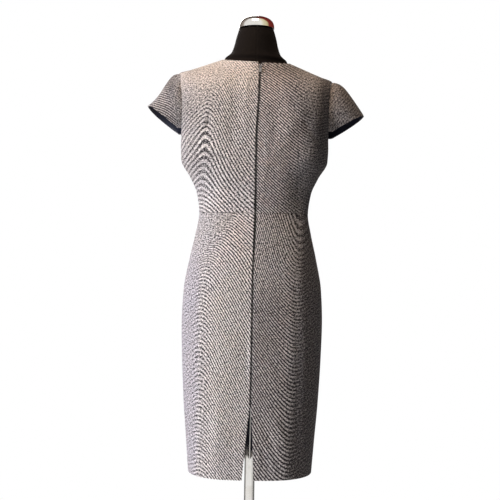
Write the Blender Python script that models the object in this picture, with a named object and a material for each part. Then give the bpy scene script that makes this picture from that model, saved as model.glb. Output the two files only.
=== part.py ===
"""A knee-length sheath dress of flecked suiting, worn by a limbless dress form on a pole and a round base.

Metres, +Z up. The origin is on the floor, under the pole. The back of the dress, with its zip and its vent,
faces +Y, and the wearer's left is +X. One skin, worked out from the table of level sections below, gives
the outer face of the cloth; every panel is a wall inside it, and the dress form fills it from within.
"""
import math

import bmesh
import bpy
import numpy as np
from mathutils import Matrix, Vector

# ------------------------------------------------------------------ driving sizes, in metres
HEM_HEIGHT = 0.500              # lower edge of the skirt above the floor
WAIST_HEIGHT = 1.117            # seam that joins bodice and skirt
UNDERARM_HEIGHT = 1.300         # lowest point of the armhole
SHOULDER_TIP_HEIGHT = 1.447     # outer end of the shoulder seam
NECK_POINT_HEIGHT = 1.486       # inner end of the shoulder seam
NECK_POINT_HALF = 0.083         # half the width of the neckline
BACK_NECK_HEIGHT = 1.4735       # neckline at the centre back
FRONT_NECK_HEIGHT = 1.404       # neckline at the centre front
VENT_TOP = 0.672                # where the centre-back seam opens
VENT_HALF_GAP = 0.0135          # each side of the vent at the hem
VENT_SPREAD = 0.8               # 1 opens the vent along straight lines, less opens it sooner
ZIP_BOTTOM = 1.026              # lower end of the zip

CLOTH = 0.0016                  # thickness of the suiting
LINING = 0.0010                 # thickness of the lining
SEAM_GAP = 0.0003               # between pieces that are sewn together
LINING_GAP = 0.0008             # between a lining and its shell where they are sewn together
LINING_EASE = 0.0025            # and where it hangs free
SEAM_HALF = 0.0002              # from a seam's line to each piece's edge, with a little to spare
ZIP_HALF = 0.0006               # from the zip's line to each back piece's edge

# ------------------------------------------------------------------ level sections of the cloth's outer face
# height      above the floor
# half_width  from the middle to the side
# back/front  depth of the cloth behind and before the side line
# square      2 is an ellipse, more is boxier, less is more pointed at the sides
# inset       from the cloth's outer face in to the dress form, at the front and back
# side_inset  the same at the sides and along the shoulders
SECTION_COLUMNS = ("height", "half_width", "back", "front", "square", "inset", "side_inset")
SECTIONS = (
    (0.5000, 0.1490, 0.1220, 0.1020, 2.70, 0.0110, 0.0110),
    (0.5830, 0.1555, 0.1205, 0.1040, 2.60, 0.0110, 0.0110),
    (0.6610, 0.1620, 0.1200, 0.1060, 2.50, 0.0110, 0.0110),
    (0.7770, 0.1680, 0.1215, 0.1085, 2.40, 0.0105, 0.0105),
    (0.8550, 0.1700, 0.1240, 0.1100, 2.30, 0.0100, 0.0100),
    (0.9330, 0.1665, 0.1225, 0.1105, 2.25, 0.0095, 0.0095),
    (1.0100, 0.1530, 0.1130, 0.1080, 2.20, 0.0085, 0.0085),
    (1.0690, 0.1400, 0.1000, 0.1035, 2.15, 0.0080, 0.0080),
    (1.1170, 0.1320, 0.0915, 0.0985, 2.10, 0.0080, 0.0080),
    (1.1660, 0.1385, 0.0940, 0.1010, 2.10, 0.0080, 0.0080),
    (1.2050, 0.1555, 0.0990, 0.1120, 2.20, 0.0080, 0.0080),
    (1.2440, 0.1770, 0.1035, 0.1270, 2.40, 0.0075, 0.0075),
    (1.2750, 0.1785, 0.1060, 0.1310, 2.60, 0.0070, 0.0070),
    (1.3020, 0.1775, 0.1070, 0.1260, 3.00, 0.0070, 0.0070),
    (1.3500, 0.1790, 0.1055, 0.1100, 3.50, 0.0070, 0.0070),
    (1.4000, 0.1835, 0.0980, 0.0900, 3.30, 0.0068, 0.0065),
    (1.4300, 0.1868, 0.0890, 0.0770, 2.60, 0.0068, 0.0058),
    (1.4470, 0.1860, 0.0820, 0.0690, 1.90, 0.0071, 0.0045),
    (1.4550, 0.1649, 0.0785, 0.0660, 1.70, 0.0062, 0.0046),
    (1.4650, 0.1385, 0.0740, 0.0625, 1.62, 0.0074, 0.0079),
    (1.4750, 0.1121, 0.0690, 0.0600, 1.65, 0.0074, 0.0096),
    (1.4860, 0.0830, 0.0630, 0.0575, 1.80, 0.0062, 0.0058),
    (1.4930, 0.0740, 0.0600, 0.0555, 1.90, 0.0000, 0.0000),
    (1.5060, 0.0600, 0.0550, 0.0520, 2.00, 0.0000, 0.0000),
    (1.5270, 0.0522, 0.0515, 0.0500, 2.00, 0.0000, 0.0000),
    (1.5390, 0.0496, 0.0500, 0.0490, 2.00, 0.0000, 0.0000),
    (1.5625, 0.0428, 0.0428, 0.0428, 2.00, 0.0000, 0.0000),
)

# The centre-back line drifts to the wearer's right towards the neck, and a little to the left at the vent.
CENTRE_BACK_COLUMNS = ("height", "drift")
CENTRE_BACK = (
    (0.500, 0.0045),
    (0.672, 0.0010),
    (0.800, 0.000),
    (0.950, 0.000),
    (1.117, -0.004),
    (1.280, -0.004),
    (1.400, -0.009),
    (1.480, -0.011),
)

# The wearer's left shoulder is held a little higher: how far the skin climbs for each metre across.
TILT_COLUMNS = ("height", "climb")
TILT = (
    (1.2200, 0.000),
    (1.3000, 0.008),
    (1.3700, 0.028),
    (1.4300, 0.041),
    (1.4900, 0.041),
    (1.5270, 0.018),
    (1.5500, 0.000),
    (1.5625, 0.000),
)

# Soft folds and hollows in the cloth, each a smooth hump of its own size. "lean" turns its long axis from
# upright towards the wearer's left, and a negative rise is a hollow.
FOLD_COLUMNS = ("is_back", "across", "height", "half_across", "half_height", "lean_degrees", "rise")
FOLDS = (
    (True, 0.118, 1.318, 0.013, 0.045, 28, -0.0022),
    (True, -0.120, 1.322, 0.014, 0.042, -26, -0.0018),
    (True, 0.075, 1.185, 0.016, 0.060, -14, 0.0016),
    (True, -0.072, 1.190, 0.016, 0.060, 16, 0.0014),
    (True, 0.020, 0.795, 0.014, 0.050, 4, -0.0022),
    (True, 0.075, 0.600, 0.022, 0.095, -3, 0.0026),
    (True, -0.070, 0.590, 0.024, 0.090, 5, 0.0030),
    (False, 0.060, 0.600, 0.024, 0.110, 3, 0.0028),
    (False, -0.068, 0.585, 0.022, 0.100, -4, 0.0024),
    (False, 0.085, 1.205, 0.016, 0.050, -18, -0.0018),
    (False, -0.085, 1.205, 0.016, 0.050, 18, -0.0018),
)

# ------------------------------------------------------------------ armholes and cap sleeves
ARMHOLE_HALF_BACK = 0.056       # half the armhole's width, behind the shoulder seam
ARMHOLE_HALF_FRONT = 0.053      # and before it
SLEEVE_FIRST_ROW_BACK = 2       # row of the armhole, up from the underarm, where the sleeve starts behind
SLEEVE_FIRST_ROW_FRONT = 1      # and before the arm, where it reaches lower
SLEEVE_END_LENGTH = 0.010       # the sleeve's length at its two ends
SLEEVE_SPARE = 0.0003           # more room at its seam, because the armhole curves
SLEEVE_HEM_DEPTH = 0.069        # half the sleeve hem, front to back
# The two sleeves differ a little: the left one has a hollow head. "front_drop" lowers the hem at the front.
SLEEVE_COLUMNS = ("name", "side", "tip_out", "tip_height", "head_bulge", "hem_bulge", "front_drop")
SLEEVES = (
    ("left", 1, 0.2600, 1.3800, 0.009, -0.004, 0.014),
    ("right", -1, 0.2630, 1.3620, 0.011, 0.009, 0.010),
)

# ------------------------------------------------------------------ the dress form and its stand
FORM_BOTTOM = 0.790
# the heights of the form's rows, closer together where the shoulders curve
FORM_ROWS = (FORM_BOTTOM, 0.820, 0.855, 0.900, 0.945, 0.990, 1.030, 1.069, 1.095, 1.117, 1.140, 1.166,
             1.190, 1.215, 1.244, 1.275, 1.302, 1.335, 1.370, 1.400, 1.422, 1.437, 1.445, 1.451, 1.457,
             1.463, 1.469, 1.475, 1.481, 1.487, 1.493, 1.500, 1.512, 1.527, 1.543, 1.5625)
FORM_SHARP_DEGREES = 50         # only the form's flat top and underside have sharp edges
LINING_TOP = 0.830              # where the lining meets the shell, above all that the vent shows
LINING_HEM = 0.516              # the lining ends above the shell's hem
LINING_ROWS = (LINING_HEM, 0.570, 0.620, VENT_TOP, 0.730, 0.790, LINING_TOP)
LINING_VENT = 1.7               # how much wider the vent is in the lining
NECK_CAP_RADIUS = 0.0432
CAP_COLUMNS = ("radius_share", "height")
CAP_PROFILE = ((0, 0), (1, 0), (1, 0.0090), (0.962, 0.0160), (0.84, 0.0225), (0.62, 0.0285),
               (0.30, 0.0320), (0, 0.0330))
COLLAR_RADIUS = 0.034           # flange under the form
COLLAR_FLANGE = 0.005           # its thickness
COLLAR_NECK_RADIUS = 0.019      # the sleeve that takes the pole
COLLAR_DEPTH = 0.022            # from the form's underside to the sleeve's lower end
COLLAR_ROOF = 0.004             # material above the pole's top
POLE_RADIUS = 0.0125
POLE_RINGS = (0.30, 0.55)       # extra rows, so that the pole's faces aren't too long
BASE_RADIUS = 0.170
BASE_EDGE = 0.006
HUB_RADIUS = 0.030
HUB_TOP = 0.050
SOCKET_FLOOR = 0.012            # material under the pole's foot
STAND_GAP = 0.0003              # round the pole in its two sockets

# ------------------------------------------------------------------ the zip, its slider and its pull
ZIP_TOP = 1.4700
TAPE_WIDTH = 0.0105
TAPE_GAP = 0.0008               # between the tape and the cloth that it is sewn to
TAPE = 0.0006                   # thickness of the tape
SLIDER_HEIGHT = 1.4600          # of the bar that the pull turns on
SLIDER_LIFT = 0.0004            # from the smooth skin to the slider's underside
SLIDER_WIDTH = 0.0056
SLIDER_LENGTH = 0.0085
SLIDER_THICKNESS = 0.0016
BAIL_WIDTH = 0.0012             # the small arch on the slider
BAIL_LENGTH = 0.0050
BAIL_RISE = 0.0027
BAIL_LEG = 0.0010
PULL_BAR = 0.0009               # thickness of the pull, and of the bar inside the arch
PULL_CLEARANCE = 0.00035
PULL_LENGTH = 0.0165            # below its bar
PULL_TOP_WIDTH = 0.0048
PULL_WIDEST = 0.0064
PULL_WINDOW_WIDTH = 0.0024
PULL_WINDOW_LENGTH = 0.0036     # below its bar's middle

# ------------------------------------------------------------------ how finely each piece is divided
HALF_PANEL_COLUMNS = 12
BODICE_ROWS = 17
ROWS_BELOW_ARMHOLE = 8
COLUMNS_UNDER_NECKLINE = 6
CROWDING = 0.35                 # how much closer the bodice's rows are towards the shoulders
SKIRT_ROWS = 15
SLEEVE_ROWS = 6
FORM_COLUMNS = 36
LINING_COLUMNS = 26
ROUND_STEPS = 32


# ------------------------------------------------------------------ curves and the skin
def smooth_table(rows, column, at):
    """Read one column of a table at any height, on a smooth curve that never overshoots the rows."""
    table = np.array([[row[0], row[column]] for row in rows], float)
    x, y = table[:, 0], table[:, 1]
    steps, rises = np.diff(x), np.diff(y)
    secants = rises / steps
    slopes = np.zeros_like(y)
    for i in range(1, len(x) - 1):
        if secants[i - 1] * secants[i] > 0:
            before, after = 2 * steps[i] + steps[i - 1], steps[i] + 2 * steps[i - 1]
            slopes[i] = (before + after) / (before / secants[i - 1] + after / secants[i])
    slopes[0], slopes[-1] = secants[0], secants[-1]
    at = np.clip(np.asarray(at, float), x[0], x[-1])
    i = np.clip(np.searchsorted(x, at, side="right") - 1, 0, len(x) - 2)
    t = (at - x[i]) / steps[i]
    start = (1 + 2 * t) * (1 - t) ** 2 * y[i] + t * (1 - t) ** 2 * steps[i] * slopes[i]
    end = t * t * (3 - 2 * t) * y[i + 1] + t * t * (t - 1) * steps[i] * slopes[i + 1]
    return start + end


def section(height, name):
    """One size of the skin's level section at a height."""
    return smooth_table(SECTIONS, SECTION_COLUMNS.index(name), height)


def skin(angle, height):
    """The point of the outer face at an angle round from the centre back, and a height before the tilt."""
    angle, height = np.broadcast_arrays(np.asarray(angle, float), np.asarray(height, float))
    depth = np.where(np.cos(angle) >= 0, section(height, "back"), section(height, "front"))
    square = section(height, "square")
    across = np.abs(np.sin(angle)) / section(height, "half_width")
    along = np.abs(np.cos(angle)) / depth
    radius = (across ** square + along ** square) ** (-1 / square)
    x, y = radius * np.sin(angle), radius * np.cos(angle)
    return np.stack([x, y, height + x * smooth_table(TILT, TILT_COLUMNS.index("climb"), height)], axis=-1)


def skin_normal(angle, height):
    """The direction out of the skin."""
    turn, rise = 0.01, 0.001
    round_step = skin(angle + turn, height) - skin(angle - turn, height)
    up_step = skin(angle, np.asarray(height) + rise) - skin(angle, np.asarray(height) - rise)
    normal = np.cross(up_step, round_step)
    return normal / np.linalg.norm(normal, axis=-1, keepdims=True)


def cloth_face(angle, height):
    """The cloth's outer face, which is the skin with its folds, and the direction out of it."""
    points, normals = skin(angle, height), skin_normal(angle, height)
    rise = np.zeros(points.shape[:-1])
    for is_back, across, at, half_across, half_height, lean_degrees, depth in FOLDS:
        lean = math.radians(lean_degrees)
        x, z = points[..., 0] - across, points[..., 2] - at
        side = (x * math.cos(lean) - z * math.sin(lean)) / half_across
        up = (x * math.sin(lean) + z * math.cos(lean)) / half_height
        same_side = points[..., 1] > 0 if is_back else points[..., 1] < 0
        rise += same_side * depth * np.exp(-side ** 2 - up ** 2)
    return points + normals * rise[..., None], normals


def angle_at_depth(height, depth, is_back):
    """The angle at which the skin is this far behind, or before, the side line."""
    reach = section(height, "back" if is_back else "front")
    share = np.clip(np.abs(depth) / reach, 0, 1) ** section(height, "square")
    across = section(height, "half_width") * (1 - share) ** (1 / section(height, "square"))
    return np.arctan2(across, depth if is_back else -np.abs(depth))


def angle_at_width(height, across, is_back):
    """The angle at which the skin is this far from the middle; a negative width is on the other side."""
    share = np.clip(np.abs(across) / section(height, "half_width"), 0, 1) ** section(height, "square")
    reach = section(height, "back" if is_back else "front")
    depth = reach * (1 - share) ** (1 / section(height, "square"))
    return np.arctan2(across, depth if is_back else -depth)


def centre_back(height):
    return smooth_table(CENTRE_BACK, CENTRE_BACK_COLUMNS.index("drift"), height)


# ------------------------------------------------------------------ grids and walls
def wall(name, outer, inner, material, closed=False):
    """A closed wall between two grids of points, one row after the other; closed rows meet end to end."""
    rows, columns = outer.shape[:2]
    mesh = bmesh.new()
    skins = []
    for grid in (outer, inner):
        skins.append([[mesh.verts.new(point) for point in row] for row in grid])
    spans = columns if closed else columns - 1
    for r in range(rows - 1):
        for c in range(spans):
            d = (c + 1) % columns
            out, back = skins
            mesh.faces.new((out[r][c], out[r][d], out[r + 1][d], out[r + 1][c]))
            mesh.faces.new((back[r][c], back[r + 1][c], back[r + 1][d], back[r][d]))
    for r in (0, rows - 1):
        for c in range(spans):
            d = (c + 1) % columns
            mesh.faces.new((skins[0][r][c], skins[1][r][c], skins[1][r][d], skins[0][r][d]))
    if not closed:
        for c in (0, columns - 1):
            for r in range(rows - 1):
                mesh.faces.new((skins[0][r][c], skins[0][r + 1][c], skins[1][r + 1][c], skins[1][r][c]))
    return finish_mesh(name, mesh, material)


def finish_mesh(name, mesh, material, sharp_degrees=35):
    """Turn a bmesh into a named object, with its faces pointing out and its round parts shaded smooth."""
    bmesh.ops.recalc_face_normals(mesh, faces=mesh.faces)
    if mesh.calc_volume(signed=True) < 0:
        bmesh.ops.reverse_faces(mesh, faces=mesh.faces)
    data = bpy.data.meshes.new(name)
    mesh.to_mesh(data)
    mesh.free()
    data.shade_smooth()
    data.set_sharp_from_angle(angle=math.radians(sharp_degrees))
    data.materials.append(material)
    piece = bpy.data.objects.new(name, data)
    bpy.context.scene.collection.objects.link(piece)
    return piece


def turned(name, profile, material, location=(0, 0, 0)):
    """A solid turned about the vertical through its origin; the profile is (radius, height) points."""
    mesh = bmesh.new()
    rings = []
    for radius, height in profile:
        if radius == 0:
            rings.append([mesh.verts.new((0, 0, height))])
            continue
        angles = [2 * math.pi * k / ROUND_STEPS for k in range(ROUND_STEPS)]
        rings.append([mesh.verts.new((radius * math.cos(a), radius * math.sin(a), height)) for a in angles])
    for low, high in zip(rings, rings[1:]):
        for k in range(ROUND_STEPS):
            m = (k + 1) % ROUND_STEPS
            corners = [low[k % len(low)], low[m % len(low)], high[m % len(high)], high[k % len(high)]]
            mesh.faces.new(list(dict.fromkeys(corners)))
    piece = finish_mesh(name, mesh, material)
    piece.location = location
    return piece


def fill_between(left, right, bottom, top):
    """Spread a grid between four edges, given as (angle, height) points, and even it out."""
    rows, columns = len(left), len(bottom)
    v = np.linspace(0, 1, rows)[:, None, None]
    u = np.linspace(0, 1, columns)[None, :, None]
    across = (1 - u) * left[:, None] + u * right[:, None]
    upward = (1 - v) * bottom[None] + v * top[None]
    corners = (1 - v) * ((1 - u) * bottom[0] + u * bottom[-1]) + v * ((1 - u) * top[0] + u * top[-1])
    return across + upward - corners


def spread(curve, count, crowding=0.0):
    """Pick points along a finely drawn curve at steps of real length on the skin, which are even, or
    which shrink steadily towards its end where it is crowded."""
    points = skin(curve[:, 0], curve[:, 1])
    lengths = np.concatenate([[0], np.cumsum(np.linalg.norm(np.diff(points, axis=0), axis=1))])
    share = np.linspace(0, 1, count)
    wanted = lengths[-1] * (share + crowding * share * (1 - share))
    return np.stack([np.interp(wanted, lengths, curve[:, k]) for k in (0, 1)], axis=-1)


def armhole_point(turn, is_back):
    """(angle, height) round the armhole: turn 0 is the underarm and half a turn is the shoulder tip."""
    middle = (UNDERARM_HEIGHT + SHOULDER_TIP_HEIGHT) / 2
    height = middle - (SHOULDER_TIP_HEIGHT - UNDERARM_HEIGHT) / 2 * np.cos(turn)
    half = ARMHOLE_HALF_BACK if is_back else ARMHOLE_HALF_FRONT
    depth = np.maximum(half * np.sin(turn), SEAM_HALF)
    return np.stack([angle_at_depth(height, depth, is_back), height], axis=-1)


def half_bodice(side, is_back, rows, columns):
    """(angle, height) grid of half the bodice's front or back, from the middle out, as if on the left."""
    fine = np.linspace(0, 1, 200)
    foot = WAIST_HEIGHT + SEAM_HALF
    # the middle edge, along the zip or the centre front
    neck = BACK_NECK_HEIGHT if is_back else FRONT_NECK_HEIGHT
    heights = foot + (neck - foot) * fine
    drift = side * centre_back(heights) + ZIP_HALF if is_back else np.zeros_like(heights)
    middle = spread(np.stack([angle_at_width(heights, drift, is_back), heights], -1), rows, CROWDING)
    # the outer edge: the side seam, then the armhole
    heights = foot + (UNDERARM_HEIGHT - foot) * fine
    seam = np.stack([angle_at_depth(heights, SEAM_HALF, is_back), heights], -1)
    armhole = armhole_point(math.pi * fine, is_back)
    below = ROWS_BELOW_ARMHOLE
    outer = np.concatenate([spread(seam, below)[:-1], spread(armhole, rows - below + 1, CROWDING)])
    # the top edge: the neckline, then the shoulder seam
    first = drift[-1]
    across = first + (NECK_POINT_HALF - first) * np.sin(math.pi / 2 * fine)
    heights = NECK_POINT_HEIGHT - (NECK_POINT_HEIGHT - neck) * np.cos(math.pi / 2 * fine)
    across = np.minimum(across, section(heights, "half_width") * 0.99999)
    neckline = np.stack([angle_at_width(heights, across, is_back), heights], -1)
    neckline[-1, 0] = angle_at_depth(NECK_POINT_HEIGHT, SEAM_HALF, is_back)
    heights = NECK_POINT_HEIGHT + (SHOULDER_TIP_HEIGHT - NECK_POINT_HEIGHT) * fine
    shoulder = np.stack([angle_at_depth(heights, SEAM_HALF, is_back), heights], -1)
    inner_columns = COLUMNS_UNDER_NECKLINE
    outer_columns = columns - inner_columns + 1
    top = np.concatenate([spread(neckline, inner_columns)[:-1], spread(shoulder, outer_columns)])
    # the foot, along the waist seam
    angles = middle[0, 0] + (outer[0, 0] - middle[0, 0]) * fine
    bottom = spread(np.stack([angles, np.full_like(angles, foot)], -1), columns)
    grid = fill_between(middle, outer, bottom, top)
    # the columns of each row are set at even steps; the rows next to the edges keep more of their own
    share = np.linspace(0, 1, columns)
    for r in range(1, rows - 1):
        fine_row = np.stack([np.interp(fine, share, grid[r, :, k]) for k in (0, 1)], axis=-1)
        keep = (r / (rows - 1)) ** 6
        grid[r] = grid[r] * keep + spread(fine_row, columns) * (1 - keep)
    return grid


def vent_opening(heights):
    """Half the vent's width at each height."""
    share = np.clip((VENT_TOP - heights) / (VENT_TOP - HEM_HEIGHT), 0, 1)
    return VENT_HALF_GAP * share ** VENT_SPREAD


def half_skirt(side, is_back, rows, columns):
    """(angle, height) grid of half the skirt's front or back, from the middle out, as if on the left."""
    heights = np.linspace(HEM_HEIGHT, WAIST_HEIGHT - SEAM_HALF, rows)
    if is_back:
        seam = np.where(heights > ZIP_BOTTOM, ZIP_HALF, SEAM_HALF)
        half_gap = np.maximum(vent_opening(heights), seam)
        first = angle_at_width(heights, side * centre_back(heights) + half_gap, True)
    else:
        first = np.full_like(heights, math.pi)
    last = angle_at_depth(heights, SEAM_HALF, is_back)
    share = np.linspace(0, 1, columns)
    grid = np.zeros((rows, columns, 2))
    for r, height in enumerate(heights):
        angles = first[r] + (last[r] - first[r]) * share
        grid[r] = np.stack([angles, np.full_like(angles, height)], -1)
    return grid


def mirrored(grid):
    """The same grid on the other side."""
    return grid * np.array([-1, 1])


def panel(name, grid, material_used):
    """A panel of cloth; its two faces' points are kept for the pieces that are sewn to it."""
    outer, normals = cloth_face(grid[..., 0], grid[..., 1])
    inner = outer - normals * CLOTH
    wall(name, outer, inner, material_used)
    return outer, inner


# ------------------------------------------------------------------ materials
def material(name, colour, roughness, metallic=0.0):
    made = bpy.data.materials.new(name)
    made.use_nodes = True
    shader = made.node_tree.nodes["Principled BSDF"]
    shader.inputs["Base Color"].default_value = (*colour, 1.0)
    shader.inputs["Roughness"].default_value = roughness
    shader.inputs["Metallic"].default_value = metallic
    return made


# ------------------------------------------------------------------ the dress
def whole_front(half):
    """Both halves of a front in one grid, which share their middle edge."""
    return np.concatenate([half[:, ::-1], mirrored(half)[:, 1:] + np.array([2 * math.pi, 0])], axis=1)


def build_panels(name, half_grid, rows, cloth):
    """The two backs and the front of the bodice or the skirt; returns each one's faces."""
    size = (rows + 1, HALF_PANEL_COLUMNS + 1)
    return {
        "left": panel(f"{name}_back_left", half_grid(1, True, *size), cloth),
        "right": panel(f"{name}_back_right", mirrored(half_grid(-1, True, *size)), cloth),
        "front": panel(f"{name}_front", whole_front(half_grid(1, False, *size)), cloth),
    }


def armhole_edge(bodice, side):
    """The armhole's edge on the bodice, from a row before the back notch over the shoulder to the front."""
    first_back = ROWS_BELOW_ARMHOLE - 2 + SLEEVE_FIRST_ROW_BACK
    first_front = ROWS_BELOW_ARMHOLE - 2 + SLEEVE_FIRST_ROW_FRONT
    back = [face[first_back:, -1] for face in bodice["left" if side > 0 else "right"]]
    front = [face[first_front:, 0 if side > 0 else -1] for face in bodice["front"]]
    joined = []
    for rear, fore in zip(back, front):
        tip = (rear[-1:] + fore[-1:]) / 2
        joined.append(np.concatenate([rear[:-1], tip, fore[-2::-1]]))
    return joined


def sleeve_surface(start, side, tip_out, tip_height, head_bulge, hem_bulge, front_drop):
    """Middle points of a cap sleeve, from its start at the armhole to its hem, and the directions out."""
    columns = len(start)
    arch = np.linspace(0, math.pi, columns)
    # the hem is an arch from the back notch over the arm to the front notch
    rise = np.sin(arch) ** 0.75
    low = start[0] + (start[-1] - start[0]) * (arch / math.pi)[:, None]
    near = np.abs(low[:, 0]) + SLEEVE_END_LENGTH
    spring = np.sin(arch) ** 0.3
    drop = front_drop * (1 - np.cos(arch)) / 2
    hem = np.stack([
        side * (near + (tip_out - near) * rise),
        low[:, 1] * (1 - spring) + SLEEVE_HEM_DEPTH * np.cos(arch) * spring,
        low[:, 2] + (tip_height - drop - low[:, 2]) * rise], axis=-1)
    radial = np.stack([side * 0.5 * np.sin(arch), np.cos(arch), 0.85 * np.sin(arch)], axis=-1)
    radial /= np.linalg.norm(radial, axis=1, keepdims=True)
    share = np.linspace(0, 1, SLEEVE_ROWS + 1)[:, None, None]
    # the head's bulge is fullest near the armhole, and the hem's nearer the hem
    bulge = 9.5 * share * (1 - share) ** 3 * head_bulge + 4 * share ** 2 * (1 - share) * hem_bulge
    bulge = bulge * np.sin(arch)[:, None]
    middle = start[None] * (1 - share) + hem[None] * share + radial[None] * bulge
    normal = np.cross(np.gradient(middle, axis=1), np.gradient(middle, axis=0))
    normal /= np.linalg.norm(normal, axis=-1, keepdims=True)
    normal *= np.sign(np.sum(normal * radial[None], axis=-1, keepdims=True))
    return middle, normal


def sleeve_grid(bodice, side, *shape):
    """The sleeve's surface, set so far from the bodice's edge that the two walls clear each other."""
    outer, inner = armhole_edge(bodice, side)
    edge, outward = (outer + inner) / 2, outer - inner
    away = np.cross(outward, np.gradient(edge, axis=0))
    away *= np.sign(away[:, :1]) * side / np.linalg.norm(away, axis=1, keepdims=True)
    edge, away = edge[1:-1], away[1:-1]
    normal = sleeve_surface(edge, side, *shape)[1]
    slant = np.abs(np.sum(normal[0] * away, axis=1, keepdims=True))
    room = SEAM_GAP + SEAM_HALF + SLEEVE_SPARE + slant * CLOTH / 2
    return sleeve_surface(edge + away * room, side, *shape)


def build_sleeves(bodice, cloth, lining_cloth):
    for name, side, *shape in SLEEVES:
        middle, normal = sleeve_grid(bodice, side, *shape)
        wall(f"sleeve_{name}", middle + normal * CLOTH / 2, middle - normal * CLOTH / 2, cloth)
        # the lining starts a little away from the armhole and ends just inside the hem
        lined = middle.copy()
        lined[0] = middle[0] * 0.7 + middle[1] * 0.3
        lined[-1] = middle[-1] * 0.93 + middle[-2] * 0.07
        normal[0] = normal[1]
        lined, normal = lined[:, 1:-1], normal[:, 1:-1]
        near = CLOTH / 2 + LINING_GAP
        wall(f"sleeve_lining_{name}", lined - normal * near, lined - normal * (near + LINING), lining_cloth)


def build_skirt_lining(lining_cloth):
    """The lower part of the skirt's lining, which the vent shows; its top edge is against the shell."""
    heights = np.array(LINING_ROWS)
    first = angle_at_width(heights, vent_opening(heights) * LINING_VENT + SEAM_HALF, True)
    angles = first[:, None] + (2 * math.pi - 2 * first[:, None]) * np.linspace(0, 1, LINING_COLUMNS + 1)
    outer, normals = cloth_face(angles, heights[:, None])
    ease = np.full((len(heights), 1, 1), CLOTH + LINING_EASE)
    ease[-1] = CLOTH + LINING_GAP
    wall("skirt_lining", outer - normals * ease, outer - normals * (ease + LINING), lining_cloth)


# ------------------------------------------------------------------ the zip
def build_tapes(bodice, skirt, tape_cloth):
    """The zip's two tapes, made from the inner points of the back pieces along the zip, moved in."""
    for side in ("left", "right"):
        edge = np.concatenate([skirt[side][1][:, :2], bodice[side][1][:, :2]])
        shell = np.concatenate([skirt[side][0][:, :2], bodice[side][0][:, :2]])
        inward = edge - shell
        inward /= np.linalg.norm(inward, axis=-1, keepdims=True)
        heights = edge[:, 0, 2]
        inside = heights[(heights > ZIP_BOTTOM) & (heights < ZIP_TOP)]
        rows = np.concatenate([[ZIP_BOTTOM], inside, [ZIP_TOP]])
        read = [[np.interp(rows, heights, grid[:, c, k]) for k in range(3)]
                for grid in (edge, inward) for c in (0, 1)]
        near, far, turn, far_turn = [np.stack(parts, axis=-1)[:, None] for parts in read]
        share = TAPE_WIDTH / np.linalg.norm(far - near, axis=-1, keepdims=True)
        share = np.linspace(0, 1, 3)[None, :, None] * share
        points = near + (far - near) * share
        turns = turn + (far_turn - turn) * share
        face = points + turns * TAPE_GAP
        wall(f"zip_tape_{side}", face, face + turns * TAPE, tape_cloth)


def plate(name, outline, hole, low, thickness, material_used, across=False):
    """A plate from an outline and at most one hole, thickened from y = low, or from x = low if across."""
    mesh = bmesh.new()
    loops = []
    for points in filter(None, (outline, hole)):
        pair = []
        for level in (low, low + thickness):
            pair.append([mesh.verts.new((level, a, b) if across else (a, level, b)) for a, b in points])
        loops.append(pair)
        for k, corner in enumerate(pair[0]):
            m = (k + 1) % len(points)
            mesh.faces.new((corner, pair[0][m], pair[1][m], pair[1][k]))
    for level in (0, 1):
        edges = []
        for pair in loops:
            ring = pair[level]
            edges += [mesh.edges.get((ring[k - 1], ring[k])) for k in range(len(ring))]
        bmesh.ops.triangle_fill(mesh, edges=edges, use_beauty=True)
    return finish_mesh(name, mesh, material_used)


def rounded_box(half_width, low, high, corner, steps=3):
    """Corner points of an upright rectangle with round corners, as (across, up) pairs."""
    points = []
    for quarter, (sx, up) in enumerate(((1, high), (-1, high), (-1, low), (1, low))):
        centre = (sx * (half_width - corner), up - corner if up == high else up + corner)
        for k in range(steps + 1):
            turn = math.pi / 2 * (quarter + k / steps)
            points.append((centre[0] + corner * math.cos(turn), centre[1] + corner * math.sin(turn)))
    return points


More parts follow.
